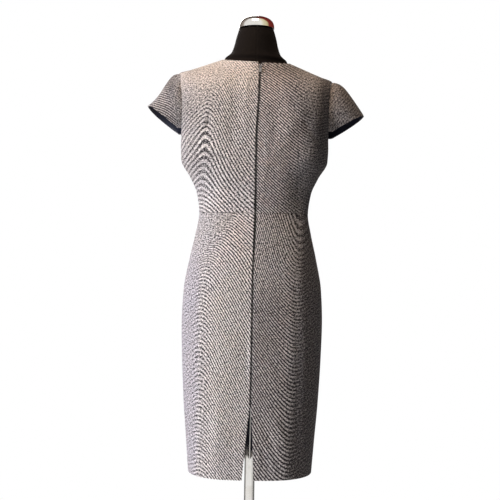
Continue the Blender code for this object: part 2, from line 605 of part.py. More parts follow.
def build_slider_and_pull(metal):
    """The slider lies on the cloth at the top of the zip, and the pull's bar hangs in its small arch."""
    across = float(centre_back(SLIDER_HEIGHT))
    angle = angle_at_width(SLIDER_HEIGHT, across, True)
    rest, normal = cloth_face(angle, SLIDER_HEIGHT)
    tilt = math.atan2(normal[2], normal[1])
    frame = Matrix.Translation(Vector(rest)) @ Matrix.Rotation(tilt, 4, "X")
    top = SLIDER_LIFT + SLIDER_THICKNESS
    half = SLIDER_LENGTH / 2
    slider = plate("zip_slider", rounded_box(SLIDER_WIDTH / 2, -half, half, 0.0014), None,
                   SLIDER_LIFT, SLIDER_THICKNESS, metal)
    slider.matrix_world = frame
    # the arch, seen from the side: its feet reach into the slider, and its window is above it
    reach, rise, leg = BAIL_LENGTH / 2, top + BAIL_RISE, BAIL_LEG
    sunk = top - SLIDER_THICKNESS / 2
    arch = [(sunk, -reach), (rise - leg, -reach), (rise, -reach + leg), (rise, reach - leg),
            (rise - leg, reach), (sunk, reach), (sunk, reach - leg), (rise - leg, reach - leg),
            (rise - leg, -reach + leg), (sunk, -reach + leg)]
    bail = plate("bail_shape", arch, None, -BAIL_WIDTH / 2, BAIL_WIDTH, metal, across=True)
    bail.matrix_world = frame
    bail.hide_render = True
    bail.display_type = "WIRE"
    union = slider.modifiers.new("bail", "BOOLEAN")
    union.operation = "UNION"
    union.solver = "EXACT"
    union.object = bail
    # the pull hangs from its bar, round which it turns
    bar = PULL_BAR / 2
    outline = [(PULL_TOP_WIDTH / 2, bar), (-PULL_TOP_WIDTH / 2, bar),
               (-PULL_TOP_WIDTH / 2, -PULL_WINDOW_LENGTH)]
    radius = PULL_WIDEST / 2
    for k in range(9):
        turn = math.pi * (1 + k / 8)
        outline.append((radius * math.cos(turn), -PULL_LENGTH + radius + radius * math.sin(turn)))
    outline.append((PULL_TOP_WIDTH / 2, -PULL_WINDOW_LENGTH))
    half_window = PULL_WINDOW_WIDTH / 2
    window = [(half_window, -bar), (-half_window, -bar),
              (-half_window, -PULL_WINDOW_LENGTH), (half_window, -PULL_WINDOW_LENGTH)]
    pull = plate("zip_pull", outline, window, -bar, PULL_BAR, metal)
    pull.matrix_world = frame @ Matrix.Translation((0, top + PULL_CLEARANCE + bar, 0))


# ------------------------------------------------------------------ the dress form and its stand
def build_form(jersey, metal):
    angles = np.linspace(0, 2 * math.pi, FORM_COLUMNS + 1)[:-1]
    angle, height = np.meshgrid(angles, FORM_ROWS)
    side = np.sin(angle) ** 4
    inset = section(height, "inset") * (1 - side) + section(height, "side_inset") * side
    points = skin(angle, height) - skin_normal(angle, height) * inset[..., None]
    mesh = bmesh.new()
    rings = [[mesh.verts.new(point) for point in row] for row in points]
    for low, high in zip(rings, rings[1:]):
        for k in range(FORM_COLUMNS):
            m = (k + 1) % FORM_COLUMNS
            mesh.faces.new((low[k], low[m], high[m], high[k]))
    for ring in (rings[0], rings[-1]):
        middle = sum((v.co for v in ring), Vector()) / FORM_COLUMNS
        hub = mesh.verts.new((0, 0, middle.z))
        for k in range(FORM_COLUMNS):
            mesh.faces.new((ring[k], ring[(k + 1) % FORM_COLUMNS], hub))
    finish_mesh("form_torso", mesh, jersey, FORM_SHARP_DEGREES)
    cap = [(share * NECK_CAP_RADIUS, rise) for share, rise in CAP_PROFILE]
    turned("neck_cap", cap, metal, (0, 0, FORM_ROWS[-1] + STAND_GAP))


def build_stand(metal):
    socket = POLE_RADIUS + STAND_GAP
    top = FORM_BOTTOM - STAND_GAP
    roof = FORM_BOTTOM - COLLAR_ROOF
    foot = FORM_BOTTOM - COLLAR_DEPTH
    flange = FORM_BOTTOM - COLLAR_FLANGE
    collar = ((0, roof), (socket, roof), (socket, foot), (COLLAR_NECK_RADIUS, foot),
              (COLLAR_NECK_RADIUS, flange - 0.002), (COLLAR_RADIUS, flange), (COLLAR_RADIUS, top), (0, top))
    turned("form_collar", collar, metal)
    pole = [(0, SOCKET_FLOOR + STAND_GAP), (POLE_RADIUS, SOCKET_FLOOR + STAND_GAP)]
    pole += [(POLE_RADIUS, height) for height in (*POLE_RINGS, roof - STAND_GAP)]
    turned("pole", pole + [(0, roof - STAND_GAP)], metal)
    base = ((0, 0), (BASE_RADIUS - 0.002, 0), (BASE_RADIUS, 0.002), (BASE_RADIUS, BASE_EDGE),
            (BASE_RADIUS - 0.004, BASE_EDGE + 0.003), (HUB_RADIUS + 0.008, 0.016), (HUB_RADIUS, 0.020),
            (0.021, 0.026), (0.0195, HUB_TOP - 0.002), (0.0175, HUB_TOP), (socket, HUB_TOP),
            (socket, SOCKET_FLOOR), (0, SOCKET_FLOOR))
    turned("base", base, metal)


def clear_scene():
    for thing in list(bpy.data.objects):
        bpy.data.objects.remove(thing, do_unlink=True)


def main():
    clear_scene()
    cloth = material("flecked suiting", (0.33, 0.30, 0.29), 0.85)
    lining_cloth = material("navy lining", (0.02, 0.02, 0.035), 0.45)
    jersey = material("black jersey", (0.012, 0.012, 0.013), 0.9)
    tape_cloth = material("zip tape", (0.25, 0.24, 0.24), 0.8)
    zip_metal = material("grey zip metal", (0.33, 0.33, 0.34), 0.4, 0.8)
    chrome = material("polished steel", (0.75, 0.73, 0.70), 0.18, 1.0)
    bodice = build_panels("bodice", half_bodice, BODICE_ROWS, cloth)
    skirt = build_panels("skirt", half_skirt, SKIRT_ROWS, cloth)
    build_sleeves(bodice, cloth, lining_cloth)
    build_skirt_lining(lining_cloth)
    build_tapes(bodice, skirt, tape_cloth)
    build_slider_and_pull(zip_metal)
    build_form(jersey, chrome)
    build_stand(chrome)


main()
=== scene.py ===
# %% [markdown]
# # A sheath dress on a dress form
#
# A sheath is a close dress of few pieces: a bodice, a straight skirt, two small sleeves and a zip. This
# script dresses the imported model, whose solids give the cut, the size and the place of each piece. Here each
# piece of cloth gets a finer skin with its folds, its seams and its weave, the stand gets polished metal,
# and a soft light from the left shows the back of the dress.
#
# The solids could also be painted as they are, but they are too coarse for cloth.
#
# All sizes are metres, but for the two tables of creases, which are in millimetres. The back of the dress
# faces +Y, and the wearer's left is +X.

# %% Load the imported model
import math

import bpy
import numpy as np
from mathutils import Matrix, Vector


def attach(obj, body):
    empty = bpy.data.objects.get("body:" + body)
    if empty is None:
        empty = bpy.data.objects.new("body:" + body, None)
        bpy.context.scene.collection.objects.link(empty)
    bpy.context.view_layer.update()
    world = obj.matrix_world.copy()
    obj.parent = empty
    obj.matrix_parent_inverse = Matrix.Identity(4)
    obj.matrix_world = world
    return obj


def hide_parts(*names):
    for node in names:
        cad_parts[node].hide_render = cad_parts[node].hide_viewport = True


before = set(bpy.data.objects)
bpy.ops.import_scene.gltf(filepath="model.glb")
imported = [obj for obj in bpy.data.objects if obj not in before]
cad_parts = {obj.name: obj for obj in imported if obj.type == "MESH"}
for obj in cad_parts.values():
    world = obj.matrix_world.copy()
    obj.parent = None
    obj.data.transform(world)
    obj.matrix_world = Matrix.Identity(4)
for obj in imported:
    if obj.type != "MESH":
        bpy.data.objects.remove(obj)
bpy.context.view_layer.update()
BODY = "dress_and_form"

# %% [markdown]
# ## The cut of the dress
#
# A dressmaker's block starts from a few levels: hem, hip, waist, bust, underarm, shoulder and neck. A body
# could be sculpted instead, or scanned. A table of level sections was chosen, because it can be read and
# changed like a size chart. Its rows hold the cloth's outer face, and they are the same as the solids' own,
# so that every finer piece lies where its solid lies.

# %% Levels and allowances, the same as the solids'
HEM_HEIGHT, WAIST_HEIGHT, UNDERARM_HEIGHT = 0.500, 1.117, 1.300
SHOULDER_TIP_HEIGHT, NECK_POINT_HEIGHT, NECK_POINT_HALF = 1.447, 1.486, 0.083
BACK_NECK_HEIGHT, FRONT_NECK_HEIGHT = 1.4735, 1.404
VENT_TOP, VENT_HALF_GAP, VENT_SPREAD, ZIP_BOTTOM = 0.672, 0.0135, 0.8, 1.026
CLOTH, SEAM_GAP, SEAM_HALF, ZIP_HALF = 0.0016, 0.0003, 0.0002, 0.0006
print("hem to back neck: %.0f mm" % ((BACK_NECK_HEIGHT - HEM_HEIGHT) * 1e3))

# %% Level sections of the cloth's outer face
SECTION_COLUMNS = ("height", "half_width", "back", "front", "square", "inset", "side_inset")
SECTIONS = (
    (0.5000, 0.1490, 0.1220, 0.1020, 2.70, 0.0110, 0.0110),
    (0.5830, 0.1555, 0.1205, 0.1040, 2.60, 0.0110, 0.0110),
    (0.6610, 0.1620, 0.1200, 0.1060, 2.50, 0.0110, 0.0110),
    (0.7770, 0.1680, 0.1215, 0.1085, 2.40, 0.0105, 0.0105),
    (0.8550, 0.1700, 0.1240, 0.1100, 2.30, 0.0100, 0.0100),
    (0.9330, 0.1665, 0.1225, 0.1105, 2.25, 0.0095, 0.0095),
    (1.0100, 0.1530, 0.1130, 0.1080, 2.20, 0.0085, 0.0085),
    (1.0690, 0.1400, 0.1000, 0.1035, 2.15, 0.0080, 0.0080),
    (1.1170, 0.1320, 0.0915, 0.0985, 2.10, 0.0080, 0.0080),
    (1.1660, 0.1385, 0.0940, 0.1010, 2.10, 0.0080, 0.0080),
    (1.2050, 0.1555, 0.0990, 0.1120, 2.20, 0.0080, 0.0080),
    (1.2440, 0.1770, 0.1035, 0.1270, 2.40, 0.0075, 0.0075),
    (1.2750, 0.1785, 0.1060, 0.1310, 2.60, 0.0070, 0.0070),
    (1.3020, 0.1775, 0.1070, 0.1260, 3.00, 0.0070, 0.0070),
    (1.3500, 0.1790, 0.1055, 0.1100, 3.50, 0.0070, 0.0070),
    (1.4000, 0.1835, 0.0980, 0.0900, 3.30, 0.0068, 0.0065),
    (1.4300, 0.1868, 0.0890, 0.0770, 2.60, 0.0068, 0.0058),
    (1.4470, 0.1860, 0.0820, 0.0690, 1.90, 0.0071, 0.0045),
    (1.4550, 0.1649, 0.0785, 0.0660, 1.70, 0.0062, 0.0046),
    (1.4650, 0.1385, 0.0740, 0.0625, 1.62, 0.0074, 0.0079),
    (1.4750, 0.1121, 0.0690, 0.0600, 1.65, 0.0074, 0.0096),
    (1.4860, 0.0830, 0.0630, 0.0575, 1.80, 0.0062, 0.0058),
    (1.4930, 0.0740, 0.0600, 0.0555, 1.90, 0.0000, 0.0000),
    (1.5060, 0.0600, 0.0550, 0.0520, 2.00, 0.0000, 0.0000),
    (1.5270, 0.0522, 0.0515, 0.0500, 2.00, 0.0000, 0.0000),
    (1.5390, 0.0496, 0.0500, 0.0490, 2.00, 0.0000, 0.0000),
    (1.5625, 0.0428, 0.0428, 0.0428, 2.00, 0.0000, 0.0000),
)
print("sections:", len(SECTIONS))

# %% Drift, tilt and the large folds
# how far the centre-back line drifts, to the left at the vent and to the right at the neck: (height, drift)
CENTRE_BACK = ((0.500, 0.0045), (0.672, 0.0010), (0.800, 0.0), (0.950, 0.0), (1.117, -0.004), (1.280, -0.004),
               (1.400, -0.009), (1.480, -0.011))
# how far the skin climbs for each metre across, because the left shoulder is held higher: (height, climb)
TILT = ((1.2200, 0.0), (1.3000, 0.008), (1.3700, 0.028), (1.4300, 0.041), (1.4900, 0.041), (1.5270, 0.018),
        (1.5500, 0.0), (1.5625, 0.0))
# the large soft folds: is_back, across, height, half_across, half_height, lean_degrees, rise
FOLDS = (
    (True, 0.118, 1.318, 0.013, 0.045, 28, -0.0022),
    (True, -0.120, 1.322, 0.014, 0.042, -26, -0.0018),
    (True, 0.075, 1.185, 0.016, 0.060, -14, 0.0016),
    (True, -0.072, 1.190, 0.016, 0.060, 16, 0.0014),
    (True, 0.020, 0.795, 0.014, 0.050, 4, -0.0022),
    (True, 0.075, 0.600, 0.022, 0.095, -3, 0.0026),
    (True, -0.070, 0.590, 0.024, 0.090, 5, 0.0030),
    (False, 0.060, 0.600, 0.024, 0.110, 3, 0.0028),
    (False, -0.068, 0.585, 0.022, 0.100, -4, 0.0024),
    (False, 0.085, 1.205, 0.016, 0.050, -18, -0.0018),
    (False, -0.085, 1.205, 0.016, 0.050, 18, -0.0018),
)
print("large folds:", len(FOLDS))

# %% [markdown]
# ## Small creases, placed one by one
#
# Cloth on a form is never even. The back has a hollow beside each shoulder blade, a short crease under the
# left arm with ripples below it, pulled cloth at the waist, and drag lines on the vent's right flap.
#
# A cloth simulation makes creases too, but not these ones, and a close dress hardly moves in it. Noise makes
# even crumples that no body makes. So each crease is placed one by one: a row is one soft trough (a negative
# rise) or ridge, from one point to another, with its own width and bow. The front and the sides, which the
# picture doesn't show, have similar ones.

# %% The creases of the back
# x0, z0, x1, z1, bow, half_width, rise, all in millimetres
BACK_CREASES = (
    (48, 1440, 62, 1245, 6, 13, -2.4), (20, 1440, 18, 1290, -2, 8.5, 1.3), (-26, 1335, -20, 1150, 3, 8, 1.5),
    (-62, 1420, -50, 1250, -5, 12, -1.4), (-95, 1400, -112, 1300, 4, 9, 1.3),
    (-93, 1345, -28, 1222, 4, 17, 2.2), (-150, 1300, -104, 1205, 3, 15, 2),
    (107, 1344, 115, 1311, 2, 4.2, -4.6), (113, 1344, 124, 1315, 2, 5, 1.8),
    (102, 1301, 127, 1297, 1, 2.8, -1.8), (101, 1289, 125, 1286, -1, 2.8, -1.7),
    (103, 1277, 124, 1273.5, 1, 2.8, -1.7), (101, 1265, 123, 1260, 1, 2.8, -1.6),
    (100, 1252, 122, 1249, -1, 2.8, -1.3), (98, 1178, 133, 1186, 2, 4.5, -1.6),
    (95, 1154, 135, 1160, -2, 4.2, -1.8), (90, 1134, 131, 1137, 1, 3.6, -1.4),
    (35, 1130, 80, 1128, 2, 4.5, -1), (-92, 1175, -130, 1183, -2, 4.5, -1.5),
    (-88, 1148, -129, 1150, 2, 4.2, -1.6), (-30, 1133, -75, 1130, -2, 4.5, -1),
    (-100, 1345, -150, 1278, 4, 7, -1.6), (134, 1290, 160, 1245, 2, 6, -1.2),
    (-20, 1095, -75, 1080, 3, 6, -0.9), (20, 1090, 80, 1086, -3, 6, -0.9), (130, 930, 128, 505, 3, 5, -1.4),
    (118, 880, 119, 505, -2, 7.5, 1), (13, 900, 11, 700, 2, 4.8, -1.3), (-12, 980, -10, 790, 1, 6, 0.8),
    (-16, 650, -72, 512, 6, 6.2, -1.7), (-12, 605, -45, 503, 5, 5, -1.4), (-30, 680, -95, 540, 6, 7, 1.1),
    (-18, 580, -23, 503, 1, 4.5, 1.1), (-102, 960, -106, 520, 4, 9, -1.3), (-127, 920, -125, 540, -3, 8, 1.1),
    (45, 620, 38, 502, 3, 8, -1.2), (88, 720, 95, 502, -3, 9.5, -1.1),
)
print("creases on the back:", len(BACK_CREASES))

# %% The creases of the front
FRONT_CREASES = (
    (150, 1230, 90, 1272, -3, 5, -1.5), (-150, 1226, -92, 1270, 3, 5, -1.4),
    (155, 1275, 100, 1295, -3, 6, -1), (-154, 1272, -100, 1296, 3, 6, -1.1),
    (85, 1155, 133, 1164, 2, 4.5, -1.5), (-85, 1158, -133, 1168, -2, 4.5, -1.6),
    (80, 1135, 125, 1138, 1, 4, -1.2), (-83, 1136, -125, 1140, -1, 4, -1.3),
    (30, 1250, -28, 1248, -4, 11, -1.8), (45, 1370, 90, 1330, 4, 8, -1.2),
    (-45, 1368, -93, 1328, -4, 8, -1.3), (20, 1085, 90, 1078, -4, 6, -1), (-20, 1083, -95, 1078, 4, 6, -1),
    (90, 1020, -90, 1015, -12, 10, -1), (110, 860, 118, 505, 4, 9, -1.3), (-108, 880, -116, 505, -4, 9, -1.4),
    (20, 760, 26, 505, 4, 12, -1.2), (-30, 720, -25, 505, -3, 11, 1.2),
)
CREASES = [(is_back, *(value / 1000 for value in row))
           for is_back, rows in ((True, BACK_CREASES), (False, FRONT_CREASES)) for row in rows]
print("creases on the front:", len(FRONT_CREASES))

# %% [markdown]
# ## Curves, and the skin that all the cloth lies on
#
# The skin is the smooth surface that the cloth would have with no creases. It could be a subdivided mesh,
# but then a seam could only run along its edges. Here it is a function instead: a smooth table reads a size
# at any height, `skin` turns an angle and a level into a point, and `cloth_face` adds the folds and the
# creases along the direction out of the skin. Any piece can be cut from it, along any line.


# %% Reading the tables
def smooth_table(rows, column, at):
    """Read a column of a table at any height, along a smooth curve that never overshoots its rows."""
    table = np.array([[row[0], row[column]] for row in rows], float)
    x, y = table[:, 0], table[:, 1]
    steps, secants = np.diff(x), np.diff(y) / np.diff(x)
    slopes = np.zeros_like(y)
    for i in range(1, len(x) - 1):
        if secants[i - 1] * secants[i] > 0:
            before, after = 2 * steps[i] + steps[i - 1], steps[i] + 2 * steps[i - 1]
            slopes[i] = (before + after) / (before / secants[i - 1] + after / secants[i])
    slopes[0], slopes[-1] = secants[0], secants[-1]
    at = np.clip(np.asarray(at, float), x[0], x[-1])
    i = np.clip(np.searchsorted(x, at, side="right") - 1, 0, len(x) - 2)
    t = (at - x[i]) / steps[i]
    start = (1 + 2 * t) * (1 - t) ** 2 * y[i] + t * (1 - t) ** 2 * steps[i] * slopes[i]
    return start + t * t * (3 - 2 * t) * y[i + 1] + t * t * (t - 1) * steps[i] * slopes[i + 1]


def section(height, name):
    return smooth_table(SECTIONS, SECTION_COLUMNS.index(name), height)


def centre_back(height):
    return smooth_table(CENTRE_BACK, 1, height)


print("half width at the waist: %.1f mm" % (section(WAIST_HEIGHT, "half_width") * 1e3))


# %% Soft steps and bells
def smooth_step(low, high, value):
    """0 below the first value, 1 above the second, and soft between them."""
    t = np.clip((value - low) / (high - low), 0, 1)
    return t * t * (3 - 2 * t)


def bell(*terms):
    """1 where every (value, middle, half width) is at its middle, and soft to nothing away from it."""
    return np.exp(-sum(((value - middle) / half) ** 2 for value, middle, half in terms))


print("a bell, one half width from its middle: %.2f" % bell((1.0, 0.0, 1.0)))


# %% The skin
def skin(angle, height):
    """The point of the skin at an angle (0 behind, half a turn in front) and a level."""
    angle, height = np.broadcast_arrays(np.asarray(angle, float), np.asarray(height, float))
    depth = np.where(np.cos(angle) >= 0, section(height, "back"), section(height, "front"))
    square = section(height, "square")
    across = np.abs(np.sin(angle)) / section(height, "half_width")
    along = np.abs(np.cos(angle)) / depth
    radius = (across ** square + along ** square) ** (-1 / square)
    x, y = radius * np.sin(angle), radius * np.cos(angle)
    return np.stack([x, y, height + x * smooth_table(TILT, 1, height)], axis=-1)


def unit(vectors):
    """The same directions, each of length one."""
    return vectors / np.linalg.norm(vectors, axis=-1, keepdims=True)


def skin_normal(angle, height):
    turn, rise = 0.01, 0.001
    round_step = skin(angle + turn, height) - skin(angle - turn, height)
    up_step = skin(angle, np.asarray(height) + rise) - skin(angle, np.asarray(height) - rise)
    return unit(np.cross(up_step, round_step))


def arc(points, axis):
    """How far along the surface each point is from the first row (axis 0) or the first column (axis 1)."""
    steps = np.linalg.norm(np.diff(points, axis=axis), axis=-1)
    zero = np.zeros_like(np.take(steps, [0], axis=axis))
    return np.concatenate([zero, np.cumsum(steps, axis=axis)], axis=axis)


print("left shoulder's tip: %.3f m up" % skin(math.pi / 2, SHOULDER_TIP_HEIGHT)[2])


# %% Folds and creases on the skin
def on_side(points, is_back):
    return points[..., 1] > 0 if is_back else points[..., 1] < 0


def beside_line(points, x0, z0, x1, z1):
    """(share of the way along a line, distance to its side, the line's length), seen straight on"""
    run = np.array([x1 - x0, z1 - z0])
    length = np.linalg.norm(run)
    x, z = points[..., 0] - x0, points[..., 2] - z0
    return (x * run[0] + z * run[1]) / length ** 2, (x * run[1] - z * run[0]) / length, length


def folds_at(points):
    rise = np.zeros(points.shape[:-1])
    for is_back, across, at, half_across, half_height, lean_degrees, depth in FOLDS:
        lean = math.radians(lean_degrees)
        x, z = points[..., 0] - across, points[..., 2] - at
        side, up = x * math.cos(lean) - z * math.sin(lean), x * math.sin(lean) + z * math.cos(lean)
        rise += on_side(points, is_back) * depth * bell((side, 0, half_across), (up, 0, half_height))
    return rise


def creases_at(points):
    rise = np.zeros(points.shape[:-1])
    for is_back, x0, z0, x1, z1, bow, half, depth in CREASES:
        along, aside, _ = beside_line(points, x0, z0, x1, z1)
        aside = aside - bow * 4 * along * (1 - along)
        ends = smooth_step(-0.12, 0.25, along) * smooth_step(-0.12, 0.3, 1 - along)
        uneven = 1 + 0.3 * np.sin(9 * along + 40 * x0 + 17 * z0)
        rise += on_side(points, is_back) * depth * ends * uneven * bell((aside, 0, half))
    return rise


probe = skin(np.linspace(-1.2, 1.2, 90), np.linspace(HEM_HEIGHT, BACK_NECK_HEIGHT, 200)[:, None])
probe = creases_at(probe) * 1e3
print("creases on the back: from %.1f to %.1f mm" % (probe.min(), probe.max()))

# %% The cloth's face
RIDGE_RISE, RIDGE_HALF = 0.0015, 0.013


def seam_ridge(points):
    """The two backs meet in a low ridge, because the zip and the seam's turnings stiffen them."""
    z = points[..., 2]
    away = np.abs(points[..., 0] - centre_back(z))
    where = smooth_step(VENT_TOP - 0.10, VENT_TOP + 0.08, z) * (1 - smooth_step(1.36, 1.43, z))
    return (points[..., 1] > 0) * RIDGE_RISE * where * np.exp(-away / RIDGE_HALF)


def cloth_face(angle, height):
    """(points of the cloth's outer face, directions out of it)"""
    points, normals = skin(angle, height), skin_normal(angle, height)
    rise = folds_at(points) + creases_at(points) + seam_ridge(points)
    return points + normals * rise[..., None], normals


probe = cloth_face(np.array([0.0, math.pi / 2, math.pi]), np.full(3, WAIST_HEIGHT))[0] * 1e3
print("waist, mm: back %.1f, side %.1f, front %.1f" % (probe[0, 1], probe[1, 0], -probe[2, 1]))


# %% [markdown]
# ## Panels from their edges
#
# A panel is one flat cut piece, sewn to its neighbours: a back, a front, half a skirt. It could be a part of
# one closed body with seams drawn on it, but then nothing could roll into a seam or stand apart from it. So
# each is a grid of its own, between its own seams: the zip or the centre front, the side seam and armhole,
# the neckline and shoulder, and the waist. Its rows follow the weft and its columns the warp.


# %% Finding a seam on the skin
def angle_at_depth(height, depth, is_back):
    """The angle where the skin stands this far behind, or before, the side line."""
    square = section(height, "square")
    share = np.clip(np.abs(depth) / section(height, "back" if is_back else "front"), 0, 1) ** square
    across = section(height, "half_width") * (1 - share) ** (1 / square)
    return np.arctan2(across, depth if is_back else -np.abs(depth))


def angle_at_width(height, across, is_back):
    """The angle where the skin stands this far to the left of the middle."""
    square = section(height, "square")
    share = np.clip(np.abs(across) / section(height, "half_width"), 0, 1) ** square
    depth = section(height, "back" if is_back else "front") * (1 - share) ** (1 / square)
    return np.arctan2(across, depth if is_back else -depth)


def spread(curve, count, crowding=0.0):
    """Points at even steps along a curve of (angle, height), or closer together towards its end."""
    lengths = arc(skin(curve[:, 0], curve[:, 1]), 0)
    share = np.linspace(0, 1, count)
    wanted = lengths[-1] * (share + crowding * share * (1 - share))
    return np.stack([np.interp(wanted, lengths, curve[:, k]) for k in (0, 1)], axis=-1)


print("side seam: %.2f degrees round" % math.degrees(angle_at_depth(WAIST_HEIGHT, SEAM_HALF, True)))

# %% The edges of half a bodice
BODICE_ROWS, ROWS_BELOW_ARMHOLE, PANEL_COLUMNS, COLUMNS_UNDER_NECKLINE = 17, 8, 12, 6
CROWDING = 0.35                                         # the rows lie closer together towards the neckline
ARMHOLE_HALF_BACK, ARMHOLE_HALF_FRONT = 0.056, 0.053
BODICE_FOOT = WAIST_HEIGHT + SEAM_HALF
FINE = np.linspace(0, 1, 500)                           # shares of the way along an edge


def inner_edge(side, is_back, rows):
    """(the zip's edge, or the centre front, from the waist up; how far across it ends)"""
    neck = BACK_NECK_HEIGHT if is_back else FRONT_NECK_HEIGHT
    heights = BODICE_FOOT + (neck - BODICE_FOOT) * FINE
    across = side * centre_back(heights) + ZIP_HALF if is_back else np.zeros_like(heights)
    return spread(np.stack([angle_at_width(heights, across, is_back), heights], -1), rows, CROWDING), across[-1]


def side_edge(is_back, rows, below):
    """The side seam up to the underarm, and then the armhole."""
    heights = BODICE_FOOT + (UNDERARM_HEIGHT - BODICE_FOOT) * FINE
    seam = np.stack([angle_at_depth(heights, SEAM_HALF, is_back), heights], -1)
    middle, reach = (UNDERARM_HEIGHT + SHOULDER_TIP_HEIGHT) / 2, (SHOULDER_TIP_HEIGHT - UNDERARM_HEIGHT) / 2
    heights = middle - reach * np.cos(math.pi * FINE)
    depth = (ARMHOLE_HALF_BACK if is_back else ARMHOLE_HALF_FRONT) * np.sin(math.pi * FINE)
    armhole = np.stack([angle_at_depth(heights, np.maximum(depth, SEAM_HALF), is_back), heights], -1)
    return np.concatenate([spread(seam, below)[:-1], spread(armhole, rows - below + 1, CROWDING)])


def top_edge(first, is_back, columns, under_neck):
    """The neckline, and then the shoulder seam."""
    neck = BACK_NECK_HEIGHT if is_back else FRONT_NECK_HEIGHT
    across = first + (NECK_POINT_HALF - first) * np.sin(math.pi / 2 * FINE)
    heights = NECK_POINT_HEIGHT - (NECK_POINT_HEIGHT - neck) * np.cos(math.pi / 2 * FINE)
    across = np.minimum(across, section(heights, "half_width") * 0.99999)
    neckline = np.stack([angle_at_width(heights, across, is_back), heights], -1)
    neckline[-1, 0] = angle_at_depth(NECK_POINT_HEIGHT, SEAM_HALF, is_back)
    heights = NECK_POINT_HEIGHT + (SHOULDER_TIP_HEIGHT - NECK_POINT_HEIGHT) * FINE
    shoulder = np.stack([angle_at_depth(heights, SEAM_HALF, is_back), heights], -1)
    return np.concatenate([spread(neckline, under_neck)[:-1], spread(shoulder, columns - under_neck + 1)])


print("armhole: %.0f mm tall" % ((SHOULDER_TIP_HEIGHT - UNDERARM_HEIGHT) * 1e3))


# %% Half a bodice, between its edges
def half_bodice(side, is_back, finer):
    """A grid of (angle, height) that meets all four edges, with even columns in its lower rows."""
    rows, columns = BODICE_ROWS * finer + 1, PANEL_COLUMNS * finer + 1
    inner, first = inner_edge(side, is_back, rows)
    outer = side_edge(is_back, rows, (ROWS_BELOW_ARMHOLE - 1) * finer + 1)
    top = top_edge(first, is_back, columns, (COLUMNS_UNDER_NECKLINE - 1) * finer + 1)
    angles = inner[0, 0] + (outer[0, 0] - inner[0, 0]) * FINE
    bottom = spread(np.stack([angles, np.full_like(angles, BODICE_FOOT)], -1), columns)
    v, u = np.linspace(0, 1, rows)[:, None, None], np.linspace(0, 1, columns)[None, :, None]
    corners = (1 - v) * ((1 - u) * bottom[0] + u * bottom[-1]) + v * ((1 - u) * top[0] + u * top[-1])
    grid = (1 - u) * inner[:, None] + u * outer[:, None] + (1 - v) * bottom[None] + v * top[None] - corners
    share = np.linspace(0, 1, columns)
    for r in range(1, rows - 1):
        fine_row = np.stack([np.interp(FINE, share, grid[r, :, k]) for k in (0, 1)], axis=-1)
        keep = (r / (rows - 1)) ** 6
        grid[r] = grid[r] * keep + spread(fine_row, columns) * (1 - keep)
    return grid


print("half a back, rows x columns:", half_bodice(1, True, 1).shape[:2])


# %% Half a skirt, with its side of the vent
SKIRT_ROWS = 15


def vent_opening(heights):
    share = np.clip((VENT_TOP - heights) / (VENT_TOP - HEM_HEIGHT), 0, 1)
    return VENT_HALF_GAP * share ** VENT_SPREAD


def half_skirt(side, is_back, finer):
    rows, columns = SKIRT_ROWS * finer + 1, PANEL_COLUMNS * finer + 1
    heights = np.linspace(HEM_HEIGHT, WAIST_HEIGHT - SEAM_HALF, rows)
    if is_back:
        seam = np.where(heights > ZIP_BOTTOM, ZIP_HALF, SEAM_HALF)
        half_gap = np.maximum(vent_opening(heights), seam)
        first = angle_at_width(heights, side * centre_back(heights) + half_gap, True)
    else:
        first = np.full_like(heights, math.pi)
    last = angle_at_depth(heights, SEAM_HALF, is_back)
    angles = first[:, None] + (last - first)[:, None] * np.linspace(0, 1, columns)
    return np.stack([angles, np.broadcast_to(heights[:, None], angles.shape)], -1)


def mirrored(grid):
    return grid * np.array([-1, 1])


def whole_front(half):
    return np.concatenate([half[:, ::-1], mirrored(half)[:, 1:] + np.array([2 * math.pi, 0])], axis=1)


print("vent: %.0f mm wide at the hem" % (2e3 * vent_opening(HEM_HEIGHT)))

# %% [markdown]
# ## More lines where the cloth bends
#
# At a seam the cloth rolls under within a millimetre, while the middle of a panel bends slowly. A subdivision
# modifier would make every face smaller alike, and so very many of them. Instead each grid is laid out again,
# with a few lines close to its edges and even steps of three millimetres between.

# %% Laying a grid out again, closer near its edges
EDGE_STEPS = (0.0, 0.0005, 0.0011, 0.0019, 0.0031)     # the first lines in from an edge
STEP = 0.0030                      # between lines inside a panel


def edge_shares(length):
    """The shares of the way across at which the lines lie."""
    near = np.array(EDGE_STEPS) / length
    count = max(2, int(round((length - 2 * EDGE_STEPS[-1]) / STEP)) + 1)
    return np.concatenate([near[:-1], np.linspace(near[-1], 1 - near[-1], count), 1 - near[-2::-1]])


def laid_out(grid):
    points = skin(grid[..., 0], grid[..., 1])
    rows, columns = edge_shares(arc(points, 0)[-1].mean()), edge_shares(arc(points, 1)[:, -1].mean())
    old_rows, old_columns = np.linspace(0, 1, grid.shape[0]), np.linspace(0, 1, grid.shape[1])
    across = np.array([[np.interp(columns, old_columns, row[:, k]) for k in (0, 1)] for row in grid])
    return np.array([[np.interp(rows, old_rows, across[:, k, c]) for k in (0, 1)]
                     for c in range(len(columns))]).transpose(2, 0, 1)


print("lines across a 200 mm panel:", len(edge_shares(0.2)))

# %% [markdown]
# ## The lines in the weave
#
# The suiting is a fine two-tone weave, cream on near-black. Where it curves, its threads show as steep
# diagonal lines: they start at a crest near the left dart, run down to the right, and flatten in a trough
# near the right dart. A wave texture draws only straight lines or rings, and a picture of cloth can't be used
# here. So each point of the cloth gets the number of lines below it, and the shader draws one light and one
# dark band for each. The tables give where the crest and the trough are at each height.

